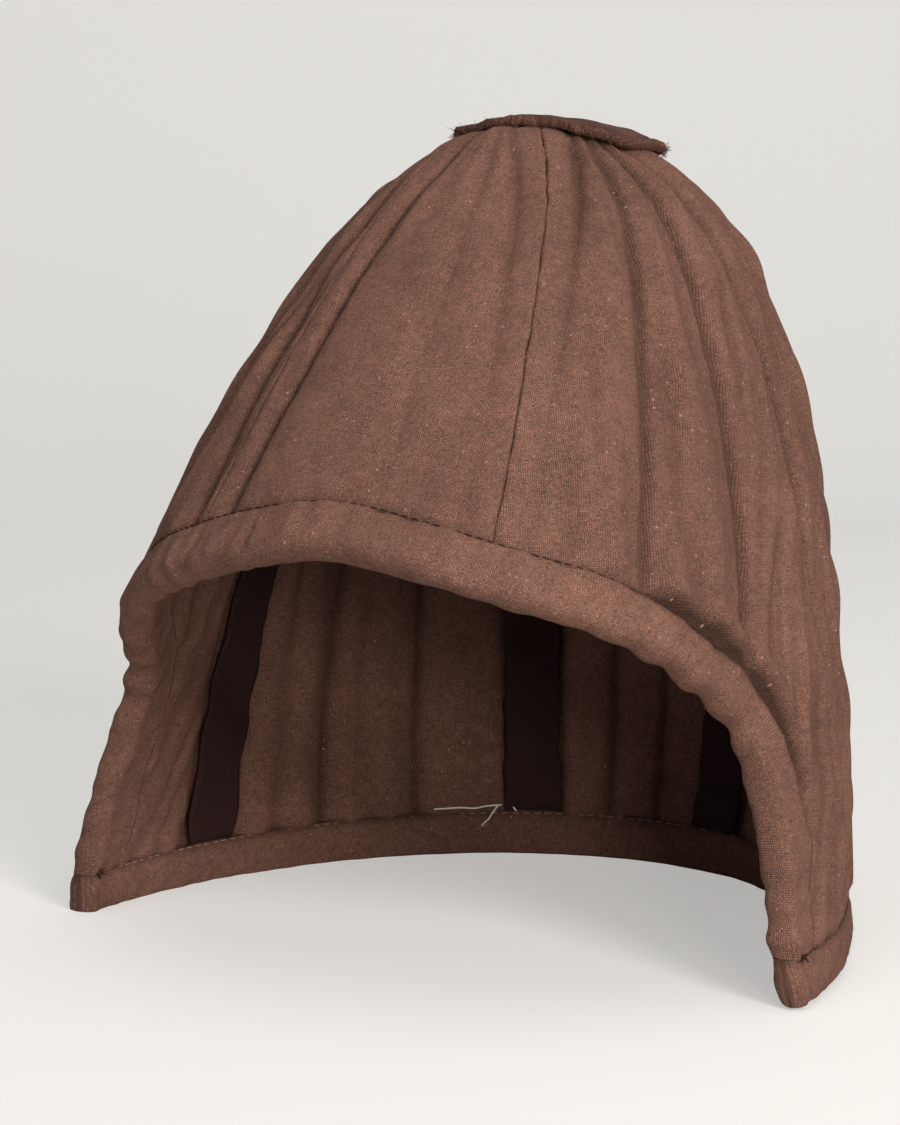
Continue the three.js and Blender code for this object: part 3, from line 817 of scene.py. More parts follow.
def gore_surface(name, start, end, seed, turn, reach):
    """Outer and inner points of a gore, with its UVs and the hollows of both, at places of its own.

    At a distance d from the nearest line of stitches the padding stands up as 1 - exp(-(d / 5.2 mm)^1.6),
    above a part of its height that the stitches leave. At a distance e from a seam its edge falls away by
    about 0.8 mm exp(-e / 0.35 mm). Gathers, wrinkles and a rolling unevenness lie over that."""
    lines = line_turns(start, end, reach)
    cell = (turn[None] >= lines[1:-1]).sum(0)
    here, after = lines_beside(lines, cell)
    degree = turn_for(1.0, turn, reach)
    part = np.clip((turn - here) / (after - here), 0, 1)
    strength = line_strength(name, cell, part, reach)
    # A strip has stitches on one side alone: the seam beside it is stitched from behind
    part = np.where(cell == 0, 1 - part, np.where(cell == LAST_CELL, part, np.minimum(part, 1 - part)))
    across = part * ((after - here) / degree)
    to_seam = np.minimum(turn - lines[0], lines[-1] - turn) / degree

    height = height_at(reach)
    to_foot = distance_to_line(cloth_point(turn, reach, WALL / 2), SEWING_LINE_POINTS)
    to_foot = np.minimum(to_foot, height - EDGE_BASE)
    to_foot = np.where(height > gore_base(turn), np.maximum(to_foot, 0), 0)

    along = arc_to(turn, np.zeros_like(reach), turn, reach, 40)
    middle = (lines[0] + lines[-1]) / 2
    side = arc_to(middle, reach, turn, reach) * np.sign(turn - middle)
    cloth = np.stack([side + 0.31 * seed, along], -1)

    # How high the padding stands, from 0 at a line of stitches to 1 on the crest
    in_strip = (cell == 0) | (cell == LAST_CELL)
    across_crest = 1 - bell(across, CREST_SPREAD, CREST_POWER)
    side_turn = wrapped(turn)
    deep = deep_side(side_turn) * smoothstep(height, *FLAP_HEIGHTS)
    rise = 1 - bell(to_foot, 1.7 * MM, 1.5)
    foot_low = foot_crest(side_turn, height)
    foot_inside = INNER_FOOT_CREST + (FOOT_CREST - INNER_FOOT_CREST) * smoothstep(np.abs(side_turn), 88, 96)
    # The quilting is softest low on the forehead and firm at the crown, the sides and the back
    high = smoothstep(height, 0.45 * CAP_HEIGHT, 0.9 * CAP_HEIGHT)
    aside = np.maximum(smoothstep(side_turn, 32, 46), smoothstep(-side_turn, 10, 26))
    firm = (1 - (1 - 0.45 * high) * (1 - aside)) * strength
    line_low = 1 - (LINE_CREST + (1 - LINE_CREST) * firm) * strength
    # Under the patch's rim the gathers are flatter
    shallow = 0.35 + 0.65 * smoothstep(reach, 0.1, 0.2)
    puffed = line_low + (1 - line_low) * across_crest
    outer_crest = puffed * (foot_low + (1 - foot_low) * rise) * np.where(in_strip, 0.9, 1.0)
    outer_crest = 1 - (1 - outer_crest) * shallow
    inner_crest = across_crest * (foot_inside + (1 - foot_inside) * rise) * np.where(in_strip, 0.35, 1.0)
    crest = across_crest * rise

    # Unevenness outside. The gathers lie near the lines, the creases at the foot and the long wrinkles on the
    # sides
    puff = rolling(side, along, PUFF_SIZE, 11 * seed + 1) * crest
    gather = rolling(side * 0.35, along, GATHER_SIZE, 11 * seed + 2) * bell(across, 3.5 * MM, 1)
    crease = rolling(side, along * 0.25, CREASE_SIZE, 11 * seed + 3) * bell(to_foot, 11 * MM, 1) * across_crest
    wrinkle = rolling(side, along * 0.09, WRINKLE_SIZE, 11 * seed + 6) * aside * crest * shallow
    uneven = PUFF * puff + GATHER * gather + CREASE * crease + WRINKLE * wrinkle
    uneven = uneven * (1 - bell(to_seam, 3 * MM))
    pinch = SEAM_GROOVE * (0.65 + 0.3 * rolling(along, 0, 7 * MM, 31)) * bell(to_seam, SEAM_EDGE, 1)
    stitched = (STITCH_GROOVE * strength + FIRM_STITCH_GROOVE * firm) * bell(across, STITCH_SPREAD)
    stitched = stitched * rise * shallow
    swell = TEMPLE_SWELL * deep * bell(to_foot - TEMPLE_SWELL_SIZE, TEMPLE_SWELL_SIZE)
    # Soft puckers run in from the turned edge on the inside
    ripple = rolling(height, to_foot * 0.35, RIPPLE_SIZE, 11 * seed + 4) * bell(to_foot, 14 * MM, 1) * rise
    tuck = rolling(side, along * 0.18, TUCK_SIZE, 11 * seed + 5) * (0.4 + 0.6 * bell(to_foot, 40 * MM, 1))

    half = (WALL - STITCHED_WALL) / 2
    outer = half * (1 - outer_crest) - uneven + pinch + stitched - swell
    inner = WALL - half * (1 - inner_crest) + 0.6 * uneven - 0.4 * stitched
    inner = inner + (RIPPLE * ripple + TUCK * tuck) * (1 - bell(to_seam, 9 * MM, 4))
    middle_depth = WALL / 2 + 0.25 * pinch
    outer = np.minimum(outer, middle_depth - LEAST_HALF)
    inner = np.maximum(inner, middle_depth + LEAST_HALF)

    # Painted shade darkens the hollows: at the lines, in the wrinkles, at the seams and at the foot
    hollow = bell(across, 2.0 * MM) * (0.25 * strength + 0.85 * firm)
    hollow_inside = np.maximum(hollow, 0.6 * bell(across, 2.5 * MM))
    hollow = np.maximum(hollow + 0.4 * smoothstep(-wrinkle, 0.1, 1.2), 0.5 * bell(to_seam, 0.4 * MM))
    hollow = np.maximum(hollow, 0.6 * bell(to_foot, 0.9 * MM) + 1.8 * deep * bell(to_foot, 2.6 * MM))
    return cloth_point(turn, reach, outer), cloth_point(turn, reach, inner), cloth, (hollow, hollow_inside)


def stitched_lines(name, start, end, seed):
    """Places along the four stitched lines of a gore outside and inside, and the outward directions."""
    cell = np.broadcast_to(np.arange(1.0, LINE_COUNT - 1), (ROWS, LINE_COUNT - 2))
    foot = foot_of(cell[0], start, end)
    reach = foot + (LINE_TOP_REACH - foot) * np.linspace(0.01, 1, ROWS)[:, None]
    turn = cell_turn(cell, start, end, reach)
    outer, inner = gore_surface(name, start, end, seed, turn, reach)[:2]
    return outer, inner, outward(turn, reach)


LEFT_SEAMS = SEAMS
RIGHT_SEAMS = {place: tuple(-turn for turn in turns) for place, turns in SEAMS.items()}
GORES = {
    "gore_front": (RIGHT_SEAMS["front"], LEFT_SEAMS["front"]),
    "gore_front_left": (LEFT_SEAMS["front"], LEFT_SEAMS["side"]),
    "gore_front_right": (RIGHT_SEAMS["side"], RIGHT_SEAMS["front"]),
    "gore_back_left": (LEFT_SEAMS["side"], LEFT_SEAMS["back"]),
    "gore_back_right": (RIGHT_SEAMS["back"], RIGHT_SEAMS["side"]),
    "gore_back": (LEFT_SEAMS["back"], tuple(360 + turn for turn in RIGHT_SEAMS["back"])),
}
outer_grids, quilting_lines = [], []
for seed, (name, (start, end)) in enumerate(GORES.items(), 1):
    outer, inner, cloth, hollows = gore_surface(name, start, end, seed, *gore_grid(name, start, end))
    outer_grids.append(outer)
    quilting_lines.append(stitched_lines(name, start, end, seed))
    piece = closed_shell(f"{name}_cloth", outer, inner, CANVAS, cloth, hollows)
    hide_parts(name)

# Turned edges


def sweep(name, loops, length, girth, hollow, node):
    """Closed tube of canvas through a grid of loops, with a fan of faces over each end."""
    cloth = np.stack([girth, np.broadcast_to(length[:, None], girth.shape)], -1)
    points = np.concatenate([loops.reshape(-1, 3), loops[[0, -1]].mean(1)])
    uv = np.concatenate([cloth.reshape(-1, 2), cloth[[0, -1]].mean(1)])
    deep = np.concatenate([hollow.ravel(), hollow[[0, -1]].mean(1)])
    piece = build_mesh(name, points, closed_tube(points, *loops.shape[:2]), CANVAS, uv, deep)
    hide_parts(node)


def face_band():
    """Puffy section along the opening: half the thickness is 5.25 mm, rounded at the edge and drawn in at the
    line of stitches. Puckers 13 mm apart make the edge scalloped toward the tips."""
    tip = np.linspace(0, 0.02, 14)[:-1], np.linspace(0.98, 1, 14)[1:]
    shares = np.concatenate([tip[0], np.linspace(0.02, 0.98, 540), tip[1]])
    # Across the section: from the stitches outside round the edge, where s is 0, to the stitches inside
    half_count = 26
    s = np.linspace(0, 1, half_count) ** 1.25
    s = np.concatenate([s[::-1], s[1:]])[None]
    sign = np.sign(np.arange(s.size) - (half_count - 1))[None]
    edge = edge_place(shares)
    length = length_along(cloth_point(edge[:, 0], reach_at(edge[:, 1]), WALL / 2))

    flap = smoothstep(np.abs(edge[:, 0]), 18, 52)
    phase = 2 * math.pi * length / (13 * MM) + 1.1 * rolling(length, 0, 60 * MM, 41)
    swing = (0.5 + 0.5 * np.cos(phase)) * (0.7 + 0.3 * rolling(length, 0, 50 * MM, 43))
    bite = (swing * (0.15 + 0.85 * flap))[:, None]
    end = np.minimum(length, length[-1] - length)
    rounded = 0.85 + 0.15 * nose(end, 2 * MM)

    width = band_width(shares)[:, None] - 0.2 * MM
    inward = s * width + 1.3 * MM * bite * (1 - s) ** 2
    to_stitch = (1 - s) * width
    half = FACE_BAND_WALL / 2 * (nose(s, 0.3, 2.3) - 0.17 * s)
    half = half * (1 - 0.09 * bite)
    drawn = bell(to_stitch, 1.2 * MM, 1.5)
    low = np.where(sign < 0, foot_crest(edge[:, :1], edge[:, 1:]), INNER_FOOT_CREST)
    half = half * (1 - drawn) + sewn_half(low) * drawn
    small = 0.18 * MM * rolling(length[:, None], to_stitch * 0.5, 6 * MM, 47) * (s > 0.02)
    large = 0.35 * MM * rolling(length[:, None], to_stitch, 28 * MM, 53) * nose(s, 0.3)
    half = (half + (small + large) * nose(s, 0.2)) * rounded[:, None]
    place = inside_edge(shares[:, None], inward)
    # The ends are tucked into the hem
    height = place[..., 1] - FOOT_TUCK * (1 - nose(end, 3 * MM))[:, None]
    loops = cloth_point(place[..., 0], reach_at(height), WALL / 2 + sign * half)
    girth = length_along(loops, 1)
    girth = girth - girth[:, half_count - 1 : half_count]
    deep = deep_side(edge[:, :1]) * smoothstep(edge[:, 1:], *FLAP_HEIGHTS)
    # Painted shade along the stitches outside, deepest in the crease at the temple
    hollow = (0.6 * bell(to_stitch, 0.9 * MM) + 1.8 * deep * bell(to_stitch, 2.1 * MM)) * (sign < 0)
    sweep("face_band_cloth", loops, length, girth + 2.3, hollow, "face_band")
    return loops


def hem_band():
    """Section standing on its flat underside, drawn in at the stitches above, from tip to tip round the back,
    with a fold of the end that is turned in at the wearer's left tip."""
    turn = np.linspace(TIP_TURN, 360 - TIP_TURN, 620)
    length = length_along(cloth_point(turn, 1.0, WALL / 2))
    half_count = 24
    share = np.linspace(0, 1, half_count) ** 1.15
    share = np.concatenate([share[::-1], share])[None]
    sign = np.repeat([-1.0, 1.0], half_count)[None]
    top = HEM_BAND_HEIGHT - 0.2 * MM
    to_stitch = (1 - share) * top
    drawn = bell(to_stitch, 1.9 * MM, 1.5)
    half = HEM_BAND_WALL / 2 * (0.52 + 0.48 * nose(share, 0.38) - 0.08 * share)
    phase = 2 * math.pi * length / (12 * MM) + 1.2 * rolling(length, 0, 55 * MM, 61)
    bite = (0.5 + 0.5 * np.cos(phase))[:, None]
    half = half * (1 - 0.06 * bite) * (1 - drawn) + sewn_half(FOOT_CREST) * drawn
    half = half + 0.2 * MM * rolling(length[:, None], to_stitch, 8 * MM, 67) * nose(share, 0.2)
    half = half + 0.3 * MM * rolling(length[:, None], to_stitch, 30 * MM, 71)
    end = np.minimum(length, length[-1] - length)[:, None]
    fold_line = 7.5 * MM + 1.5 * MM * np.cos(math.pi * share)
    fold = bell(end - fold_line, 0.8 * MM) * (length < length[-1] / 2)[:, None]
    half = half * (0.25 + 0.75 * nose(end, 3.6 * MM)) - 1.1 * MM * fold * nose(share + 0.1, 0.4)
    half = half + 0.5 * MM * bell(end - 3.6 * MM, 2.4 * MM)
    # The tips slant: over a few degrees the band's lower edge falls back from its upper one
    slant_turns = (360 - 2 * TIP_TURN) * 3 / 44
    near_left = np.maximum(0, 1 - (turn - TIP_TURN) / slant_turns)
    near_right = np.maximum(0, 1 - (360 - TIP_TURN - turn) / slant_turns)
    slant = HEM_TIP_SLANT * (near_left - near_right)
    turns = turn[:, None] + slant[:, None] * (1 - share)
    loops = cloth_point(turns, reach_at(top * share), WALL / 2 + sign * half)
    # Painted shade along the stitches and in the fold of the turned-in end
    hollow = 0.9 * bell(to_stitch, 1.4 * MM) + 0.9 * fold
    sweep("hem_band_cloth", loops, length, length_along(loops, 1) + 2.9, hollow, "hem_band")
    return loops


band_loops = [face_band(), hem_band()]

# Crown patch

PATCH_TILT, PATCH_TILT_BEARING, PATCH_PIVOT_DEPTH = 2.7, 28.7, 70 * MM
PATCH_FRAY = 0.45 * MM, 0.2 * MM


def tilted(points):
    """Points of the patch turned about a line 70 mm under the crown, so that it slides to one side."""
    angle, bearing = math.radians(PATCH_TILT), math.radians(PATCH_TILT_BEARING)
    axis = np.array([-math.sin(bearing), math.cos(bearing), 0])
    centre = envelope(0.0, 0.0) - [0, 0, PATCH_PIVOT_DEPTH]
    arm = points - centre
    turned = arm * math.cos(angle) + np.cross(axis, arm) * math.sin(angle)
    return centre + turned + axis * (arm @ axis)[..., None] * (1 - math.cos(angle))


def crown_patch():
    """Frayed stiff disc with a rolled rim: at a share q of the radius its top lies most of a patch's
    thickness above the gores, with a stitched groove near the rim, which is ragged and uneven."""
    rings, sectors = 33, 400
    apex = envelope(0.0, 0.0)
    bearing = np.linspace(0, 2 * math.pi, sectors, endpoint=False)
    turns = np.degrees(bearing)
    # Reach at which the envelope is the patch's radius away from the apex, by halving
    low, high = np.zeros(sectors), np.full(sectors, 0.5)
    for _ in range(40):
        middle = (low + high) / 2
        within = np.linalg.norm((envelope(turns, middle) - apex)[:, :2], axis=-1) < PATCH_RADIUS
        low, high = np.where(within, middle, low), np.where(within, high, middle)
    rim_reach = (low + high) / 2
    girth = bearing * PATCH_RADIUS
    ragged = PATCH_FRAY[0] * rolling(girth, 0, 9 * MM, 81) + PATCH_FRAY[1] * rolling(girth, 0, 2.6 * MM, 83)
    frayed = 0.12 * MM * rolling(girth, 0, 2.3 * MM, 84)
    q = np.linspace(0, 1, rings + 1)[1:, None] ** 0.8
    reach = rim_reach * q * (1 + ragged / PATCH_RADIUS * q**3)
    x, y = q * PATCH_RADIUS * np.cos(bearing), q * PATCH_RADIUS * np.sin(bearing)
    lift = 0.4 * MM * rolling(girth, 0, 14 * MM, 87) * q**4
    lift = lift + 0.12 * MM * rolling(x, y, 9 * MM, 89) + frayed * q**10
    to_rim = (1 - q) * PATCH_RADIUS
    rim = bell(to_rim - 1.3 * MM, 1.3 * MM)
    seam = bell(to_rim - 3.6 * MM, 0.8 * MM)
    top = 0.78 * PATCH_THICKNESS + lift + 0.2 * MM * rim - 0.5 * MM * seam - 0.3 * MM * (1 - q**2)
    bottom = -0.5 * MM + lift * 0.9 - 0.4 * MM * q**2
    middle, half = (top + bottom) / 2, (top - bottom) / 2 * nose(to_rim + 0.02 * MM, 0.9 * MM)
    upper, lower = (tilted(cloth_point(turns, reach, -(middle + side * half))) for side in (1, -1))

    size = rings * sectors
    here = np.arange(sectors)
    after = (here + 1) % sectors
    quads = grid_faces(rings, sectors, ring=True)[:, [0, 3, 2, 1]]
    last = (rings - 1) * sectors
    rim_quads = np.stack([last + here, last + here + size, last + after + size, last + after], -1)
    faces = np.concatenate([quads, quads[:, ::-1] + size, rim_quads])
    top_fan = np.stack([np.full(sectors, 2 * size), here, after], -1)
    low_fan = np.stack([np.full(sectors, 2 * size + 1), after + size, here + size], -1)
    fans = np.concatenate([top_fan, low_fan])
    points = np.concatenate([upper.reshape(-1, 3), lower.reshape(-1, 3), [upper[0].mean(0), lower[0].mean(0)]])
    if enclosed(points, faces) <= 0:
        faces, fans = faces[:, ::-1], fans[:, ::-1]
    flat = np.stack([x, y], -1).reshape(-1, 2)
    uv = np.concatenate([flat, flat, np.zeros((2, 2))])
    # Painted shade in the stitched groove near the rim
    deep = np.broadcast_to(seam * 0.8, reach.shape).ravel()
    hollow = np.concatenate([deep, deep, [0, 0]])
    faces = faces.tolist() + fans.tolist()
    piece = build_mesh("crown_patch_cloth", points, faces, PATCH, uv, hollow)
    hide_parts("crown_patch")
    return (upper[-1] + lower[-1]) / 2


patch_rim = crown_patch()

# Tapes inside


def seam_tape(name, seam, seed):
    """Thin dark strip over a seam inside, between the stitched lines beside it, from the hem up under the
    crown."""
    rows, columns = 150, 15
    foot = 1.0
    for _ in range(40):
        foot = reach_at(gore_base(seam_turn(seam, foot)) + 0.2 * MM)
    reach = np.linspace(foot, reach_at(SHELL_HEIGHT * 0.955), rows)[:, None]
    across = np.linspace(-1, 1, columns)[None]
    turn = seam_turn(seam, reach)
    length = arc_to(turn, np.zeros_like(reach), turn, reach, 40)
    edge = 1 + 0.03 * rolling(length, across * 0 + seed, 12 * MM, 100 + seed)
    edge = edge + 0.012 * np.sin(length / (2.6 * MM) * 2 * math.pi)
    turns = turn + across * edge * turn_for(TAPE_WIDTH / 2, turn, reach)
    reaches = np.broadcast_to(reach, turns.shape)
    depth = WALL - 1.5 * MM + 0.25 * MM * rolling(across * 9 * MM, length, 18 * MM, 120 + seed)
    # The lower end dips to the hem's stitches
    close = smoothstep(height_at(reaches) - height_at(reaches).min(), 0, 7 * MM)
    depth = depth * close + (WALL / 2 + STITCHED_WALL / 2 + 1.2 * MM) * (1 - close)
    outer, inner = (cloth_point(turns, reaches, depth + step) for step in (0, TAPE_THICKNESS))
    cloth = np.stack([across * edge * TAPE_WIDTH / 2, np.broadcast_to(length, turns.shape)], -1)
    piece = closed_shell(f"{name}_cloth", outer, inner, TAPE, cloth)
    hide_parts(name)
    return inner


tapes = []
for seed, place in enumerate(SEAMS, 1):
    tapes.append(seam_tape(f"tape_{place}_left", LEFT_SEAMS[place], seed))
    tapes.append(seam_tape(f"tape_{place}_right", RIGHT_SEAMS[place], seed + 3))

# Stitches


def stitch_row(line, pitch, facing):
    """Places and directions of stitches at an even pitch along a polyline, each with the facing of the
    nearest of the line's points."""
    length = length_along(line)
    at = np.arange(pitch / 2, length[-1] - pitch / 2, pitch)
    places, ahead, behind = (
        np.stack([np.interp(at + step, length, line[:, k]) for k in range(3)], -1)
        for step in (0, 0.2 * MM, -0.2 * MM)
    )
    nearest = [np.argmin(((line - place) ** 2).sum(-1)) for place in places]
    return places, unit(ahead - behind), facing[nearest]


def capsules(name, rows, length, radius, material, sink):
    """Short rounded stitches: each has four rings of five points along its direction and a tip at each end,
    bent into the cloth by the square of the way from its middle."""
    places, directions, normals = (np.concatenate([row[k] for row in rows]) for k in range(3))
    sides = 5
    ways, widths = (-1, -0.86, -0.4, 0.4, 0.86, 1), (0.75, 1.0, 1.0, 0.75)
    across = unit(np.cross(normals, directions))
    up = unit(np.cross(directions, across))
    spines = [places + directions * way * length / 2 + up * (-(way**2) * radius * 0.9 - sink) for way in ways]
    circle = circles(across, up, sides) * radius
    body = [spine[:, None] + circle * width for spine, width in zip(spines[1:-1], widths)]
    points = np.concatenate([*body, np.stack([spines[0], spines[-1]], 1)], 1)
    quads, fans = (copied(faces, len(places), points.shape[1]) for faces in tube_faces(len(widths), sides))
    return build_mesh(name, points, quads + fans, material)


def surface_normals(grid):
    """Unit normals of a grid of points, facing away from the head's middle."""
    normal = unit(np.cross(np.gradient(grid, axis=1), np.gradient(grid, axis=0)))
    facing = ((grid - [0, 0, CAP_HEIGHT * 0.4]) * normal).sum(-1, keepdims=True)
    return normal * np.sign(facing)


def quilting_stitches():
    """Fine stitches down the lines of the quilting, outside and inside."""
    for k, (side, sign) in enumerate((("outside", 1), ("inside", -1))):
        rows = [
            stitch_row(line[k][:, column], 3.1 * MM, sign * line[2][:, column])
            for line in quilting_lines
            for column in range(LINE_COUNT - 2)
        ]
        capsules(f"quilting_stitches_{side}", rows, 1.3 * MM, 0.16 * MM, CANVAS_THREAD, 0.1 * MM)


def band_stitches():
    """Rows of stitches over the sewing lines of the face edge and of the hem: dark outside, where the dark
    thread is painted shade of the stitch holes, and pinkish inside the hem."""
    share = np.linspace(0.004, 0.996, 900)
    over_brow = share[np.abs(inside_edge(share, band_width(share))[:, 0]) < 54]
    turn, height = np.moveaxis(inside_edge(over_brow, band_width(over_brow) - 0.5 * MM), -1, 0)
    hem_turn = np.linspace(TIP_TURN + 1.5, 360 - TIP_TURN - 1.5, 1200)
    hem_height = np.full(len(hem_turn), HEM_BAND_HEIGHT - 0.4 * MM)
    edge_half = sewn_half(foot_crest(turn, height)) + 0.5 * MM
    inner_half, hem_half = sewn_half(INNER_FOOT_CREST), sewn_half(FOOT_CREST)
    edge, hem = (turn, height), (hem_turn, hem_height)
    for name, side, (turn, height), half, pitch, length, radius, thread, sink in (
        ("edge_stitches_outside", -1, edge, edge_half, 3.0, 2.2, 0.22, DARK_THREAD_AND_HOLE_SHADE, 0.05),
        ("edge_stitches_inside", 1, edge, inner_half, 3.0, 1.3, 0.16, CANVAS_THREAD, 0.1),
        ("hem_stitches_outside", -1, hem, hem_half, 3.4, 1.9, 0.2, DARK_THREAD_AND_HOLE_SHADE, 0.05),
        ("hem_stitches_inside", 1, hem, hem_half, 3.4, 2.6, 0.24, HEM_THREAD, -0.1),
    ):
        reach = reach_at(height)
        line = cloth_point(turn, reach, WALL / 2 + side * half)
        row = stitch_row(line, pitch * MM, -side * outward(turn, reach))
        capsules(name, [row], length * MM, radius * MM, thread, sink * MM)


def tip_knots():
    """Small knots of dark thread where the face edge meets the hem: inside at the wearer's right, outside at
    the left."""
    rng = np.random.default_rng(13)
    parts, strands = [], (7, 3)
    for turn, depth in ((-TIP_TURN - 1.5, WALL + 0.1 * MM), (TIP_TURN + 1.5, -0.1 * MM)):
        spot = cloth_point(turn, reach_at(HEM_BAND_HEIGHT + 0.4 * MM), depth)
        facing = outward(np.array([turn]), np.array([0.97])) * (1 if depth < 0 else -1)
        places = spot + rng.normal(size=strands) * 0.45 * MM
        parts.append((places, unit(rng.normal(size=strands)), np.repeat(facing, strands[0], 0)))
    capsules("tip_knots", parts, 2.6 * MM, 0.3 * MM, DARK_THREAD_AND_HOLE_SHADE, 0.2 * MM)


def tape_stitches():
    """Fine stitches down both edges of each tape."""
    rows = []
    for grid in tapes:
        facing = surface_normals(grid)
        for column in (1, grid.shape[1] - 2):
            rows.append(stitch_row(grid[2:-2, column], 2.9 * MM, -facing[2:-2, column]))
    capsules("tape_stitches", rows, 1.6 * MM, 0.14 * MM, TAPE_THREAD, -0.05 * MM)


quilting_stitches()
band_stitches()
tip_knots()
tape_stitches()

# Loose thread and fibres


def thread_tube(name, points, radius, material, sides=8):
    """Closed tube through a row of points, with pointed ends."""
    along = unit(np.gradient(points, axis=0))
    side = unit(np.cross(along, [0.31, 0.2, 0.93]))
    number = np.arange(len(points))
    width = radius * nose(np.minimum(number, number[::-1]) + 0.5, 2.5)
    body = points[:, None] + circles(side, np.cross(side, along), sides) * width[:, None, None]
    vertices = np.concatenate([body.reshape(-1, 3), points[[0, -1]]])
    return build_mesh(name, vertices, closed_tube(vertices, len(points), sides), material)


def loose_thread():
    """White end of sewing thread over the hem's stitches inside: a wavy strand with a short branch hanging
    down, and a tiny end beside it."""
    surface = WALL / 2 + HEM_BAND_WALL / 2 * 0.9
    f = np.linspace(0, 1, 60)
    for name, turns, heights, wave in (
        ("loose_thread_long", (213.5, 202.5), (14.4, 15.2), 0.3),
        ("loose_thread_end", (203.2, 205.3), (15.0, 8.8), 0.3),
        ("loose_thread_tip", (200.6, 200.0), (14.6, 13.6), 0.1),
    ):
        turn = turns[0] + (turns[1] - turns[0]) * f
        height = (heights[0] + (heights[1] - heights[0]) * f) * MM
        height = height + wave * MM * (0.7 * np.sin(8 * f) + 0.3 * np.sin(17 * f + 1))
        lift = surface + (0.8 + 0.2 * np.sin(11 * f + 2)) * MM * np.sin(math.pi * f) ** 0.5
        thread_tube(name, cloth_point(turn, reach_at(height), lift), 0.28 * MM, WHITE_THREAD)


def fibres(name, roots, normals, length, radius, material, seed):
    """Short bent hairs of three rings: each leaves its root near the normal, then leans over in a random
    direction by the square of the way along it."""
    rng = np.random.default_rng(seed)
    count, sides = len(roots), 3
    lean = unit(normals + 0.9 * rng.normal(size=(count, 3)))
    bend = unit(np.cross(lean, rng.normal(size=(count, 3))))
    size = length * rng.uniform(0.4, 1.2, count)
    circle = circles(unit(np.cross(lean, bend)), bend, sides)
    body = []
    for f in (0.0, 0.5, 1.0):
        spine = roots + lean * (size * (f - 0.12))[:, None] + bend * (0.35 * size * f * f)[:, None]
        body.append(spine[:, None] + circle * (radius * (1 - 0.6 * f)))
    points = np.stack(body, 1).reshape(count, -1, 3)
    quads = grid_faces(len(body), sides, ring=True)
    caps = np.array([[2, 1, 0], [6, 7, 8]])
    if enclosed(points[0], quads) <= 0:
        quads, caps = quads[:, ::-1], caps[:, ::-1]
    faces = [face for part in (quads, caps) for face in copied(part, count, points.shape[1])]
    return build_mesh(name, points, faces, material)


def patch_fraying():
    """Thread ends that stick out all round the patch's rim."""
    rng = np.random.default_rng(5)
    count = 900
    pick = rng.integers(0, len(patch_rim), count)
    roots = patch_rim[pick] + rng.normal(size=(count, 3)) * [0.5 * MM, 0.5 * MM, 0.6 * MM]
    normals = unit((patch_rim[pick] - patch_rim.mean(0)) * [1, 1, 0.3])
    fibres("crown_patch_fraying", roots, normals, 2.0 * MM, 0.1 * MM, PATCH_THREAD, 7)


def canvas_fuzz():
    """Fine hairs over the outside of the gores and along the turned edges, clear of the floor."""
    rng = np.random.default_rng(9)
    per_gore, per_band = 600, 800
    roots, normals = [], []
    for outer in outer_grids:
        facing = surface_normals(outer)
        row = rng.integers(0, outer.shape[0] - 1, per_gore)
        column = rng.integers(1, outer.shape[1] - 1, per_gore)
        f = rng.uniform(size=(per_gore, 1))
        roots.append(outer[row, column] * (1 - f) + outer[row + 1, column] * f)
        normals.append(facing[row, column])
    for loops in band_loops:
        row, column = rng.integers(0, loops.shape[0] - 1, per_band), rng.integers(0, loops.shape[1], per_band)
        roots.append(loops[row, column])
        normals.append(unit(loops[row, column] - loops.mean(1)[row]))
    roots, normals = np.concatenate(roots), np.concatenate(normals)
    clear = roots[:, 2] > 1.5 * MM
    fibres("canvas_fuzz", roots[clear], normals[clear], 1.0 * MM, 0.03 * MM, FUZZ, 11)


loose_thread()
patch_fraying()
canvas_fuzz()

# Setting: floor that curves up behind, and soft light

CAMERA_TURN, CAMERA_RISE, CAMERA_ROLL = 28.727, 7.852, -0.626
CAMERA_DISTANCE = 977.8 * MM
CAMERA_TARGET = np.array([-24.19, 16.56, 100.70]) * MM
LENS = 106.8
UP = np.array([0, 0, 1.0])
MIDDLE = 0.11 * UP


def place_camera():
    """Camera on the line from the target toward the wearer's left front, and its forward and right
    directions."""
    a, e, r = (math.radians(v) for v in (CAMERA_TURN, CAMERA_RISE, CAMERA_ROLL))
    forward = np.array([-math.sin(a) * math.cos(e), math.cos(a) * math.cos(e), -math.sin(e)])
    across = unit(np.cross(forward, UP))
    up = np.cross(across, forward)
    across, up = across * math.cos(r) + up * math.sin(r), up * math.cos(r) - across * math.sin(r)
    data = bpy.data.cameras.new("Camera")
    data.lens = LENS
    data.clip_start, data.clip_end = 0.05, 20
    camera = bpy.data.objects.new("Camera", data)
    place_axes(camera, across, up, -forward, CAMERA_TARGET - forward * CAMERA_DISTANCE)
    bpy.context.scene.camera = camera
    return forward, across


def place_axes(item, *columns):
    """Links an object to the scene with its three axes and its place given as columns of its matrix."""
    matrix = np.eye(4)
    matrix[:3] = np.stack(columns, 1)
    item.matrix_world = [list(row) for row in matrix.T]
    bpy.context.scene.collection.objects.link(item)


forward, across = place_camera()
level = unit(forward * [1, 1, 0])


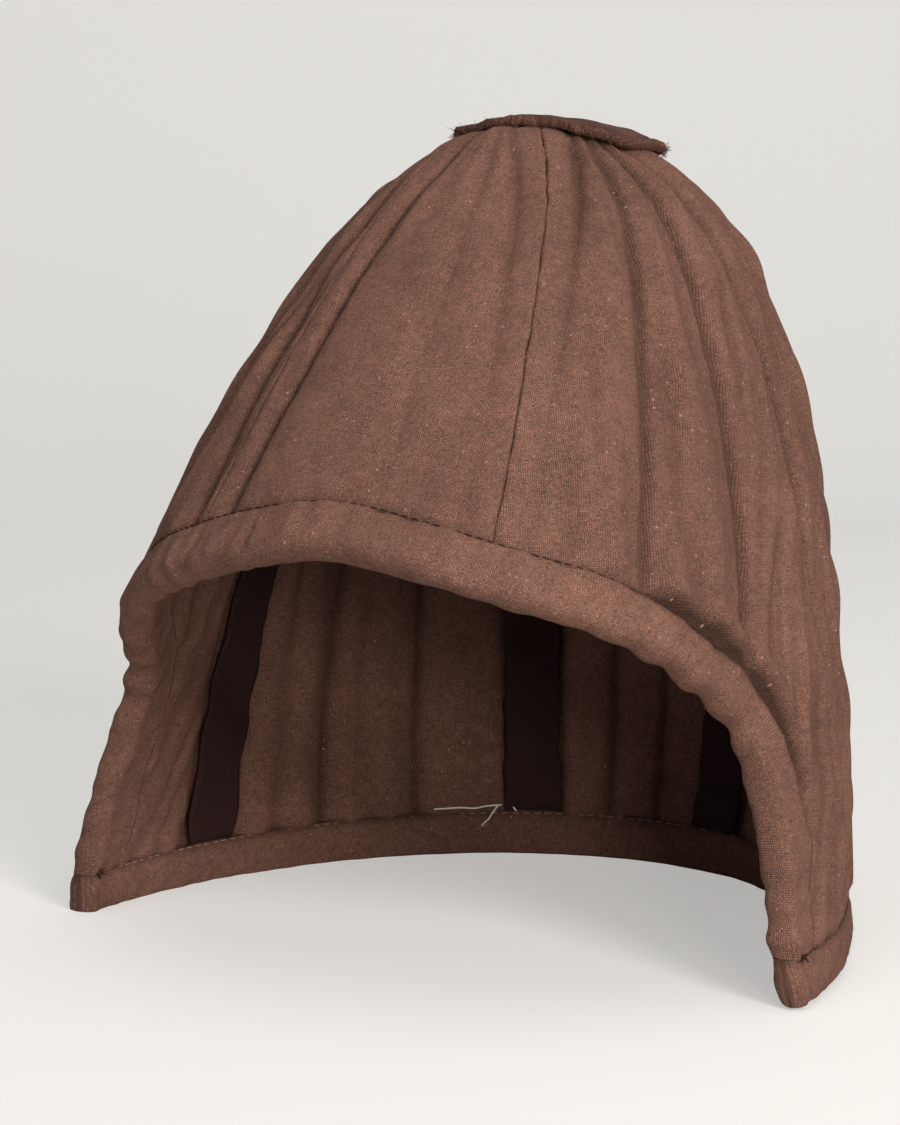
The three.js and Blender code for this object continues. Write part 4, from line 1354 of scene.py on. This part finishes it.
def backdrop():
    """Pale sheet: a floor that bends up into a wall behind the cap, square to the camera."""
    front, back, bend, rise, half_width = -1.6, 0.9, 0.5, 2.2, 2.6
    angle = np.linspace(0, math.pi / 2, 25)
    depth = np.concatenate([[front], back + bend * np.sin(angle), [back + bend]])
    height = np.concatenate([[0.0], bend * (1 - np.cos(angle)), [rise]])
    rows = level * depth[:, None] + UP * height[:, None]
    points = np.stack([rows + across * side for side in (-half_width, half_width)], 1)
    material = bpy.data.materials.new("Pale paper")
    material.use_nodes = True
    tree = material.node_tree
    shader = tree.nodes["Principled BSDF"]
    shader.inputs["Base Color"].default_value = (0.6, 0.59, 0.57, 1)
    shader.inputs["Roughness"].default_value = 0.9
    # The camera sees the paper a little brighter than it lights the cap
    seen = tree.nodes.new("ShaderNodeLightPath").outputs["Is Camera Ray"]
    shader.inputs["Emission Color"].default_value = (1.0, 0.985, 0.955, 1)
    tree.links.new(node_math(tree, "MULTIPLY", seen, 0.42), shader.inputs["Emission Strength"])
    return new_object("floor", points, grid_faces(len(depth), 2).tolist(), material)


def area_light(name, right_way, up_way, near, size, power, colour):
    """Round light aimed at the cap's middle, placed in metres to the camera's right, up, and toward the
    camera."""
    place = MIDDLE + across * right_way + UP * up_way - level * near
    data = bpy.data.lights.new(name, "AREA")
    data.shape = "DISK"
    data.size, data.energy, data.color = size, power, colour
    light = bpy.data.objects.new(name, data)
    aim = unit(place - MIDDLE)
    side = unit(np.cross(UP, aim))
    place_axes(light, side, np.cross(aim, side), aim, place)
    return light


key = area_light("key", 0.68, 0.66, 1.2, 0.5, 14.2, (1.0, 0.97, 0.92))
low = area_light("low", 0.3, 0.26, 1.4, 0.3, 4.8, (1.0, 0.96, 0.9))
fill = area_light("fill", -0.6, 0.9, 1.0, 1.0, 2.4, (0.98, 0.98, 1.0))
top_light = area_light("top", 0.1, 1.6, 0.1, 1.2, 7, (1.0, 0.99, 0.97))
world = bpy.data.worlds.new("World")
world.use_nodes = True
sky = world.node_tree.nodes["Background"]
sky.inputs["Color"].default_value = (0.9, 0.92, 0.95, 1)
sky.inputs["Strength"].default_value = 0.12
bpy.context.scene.world = world
bpy.context.scene.view_settings.view_transform = "Standard"
backdrop()
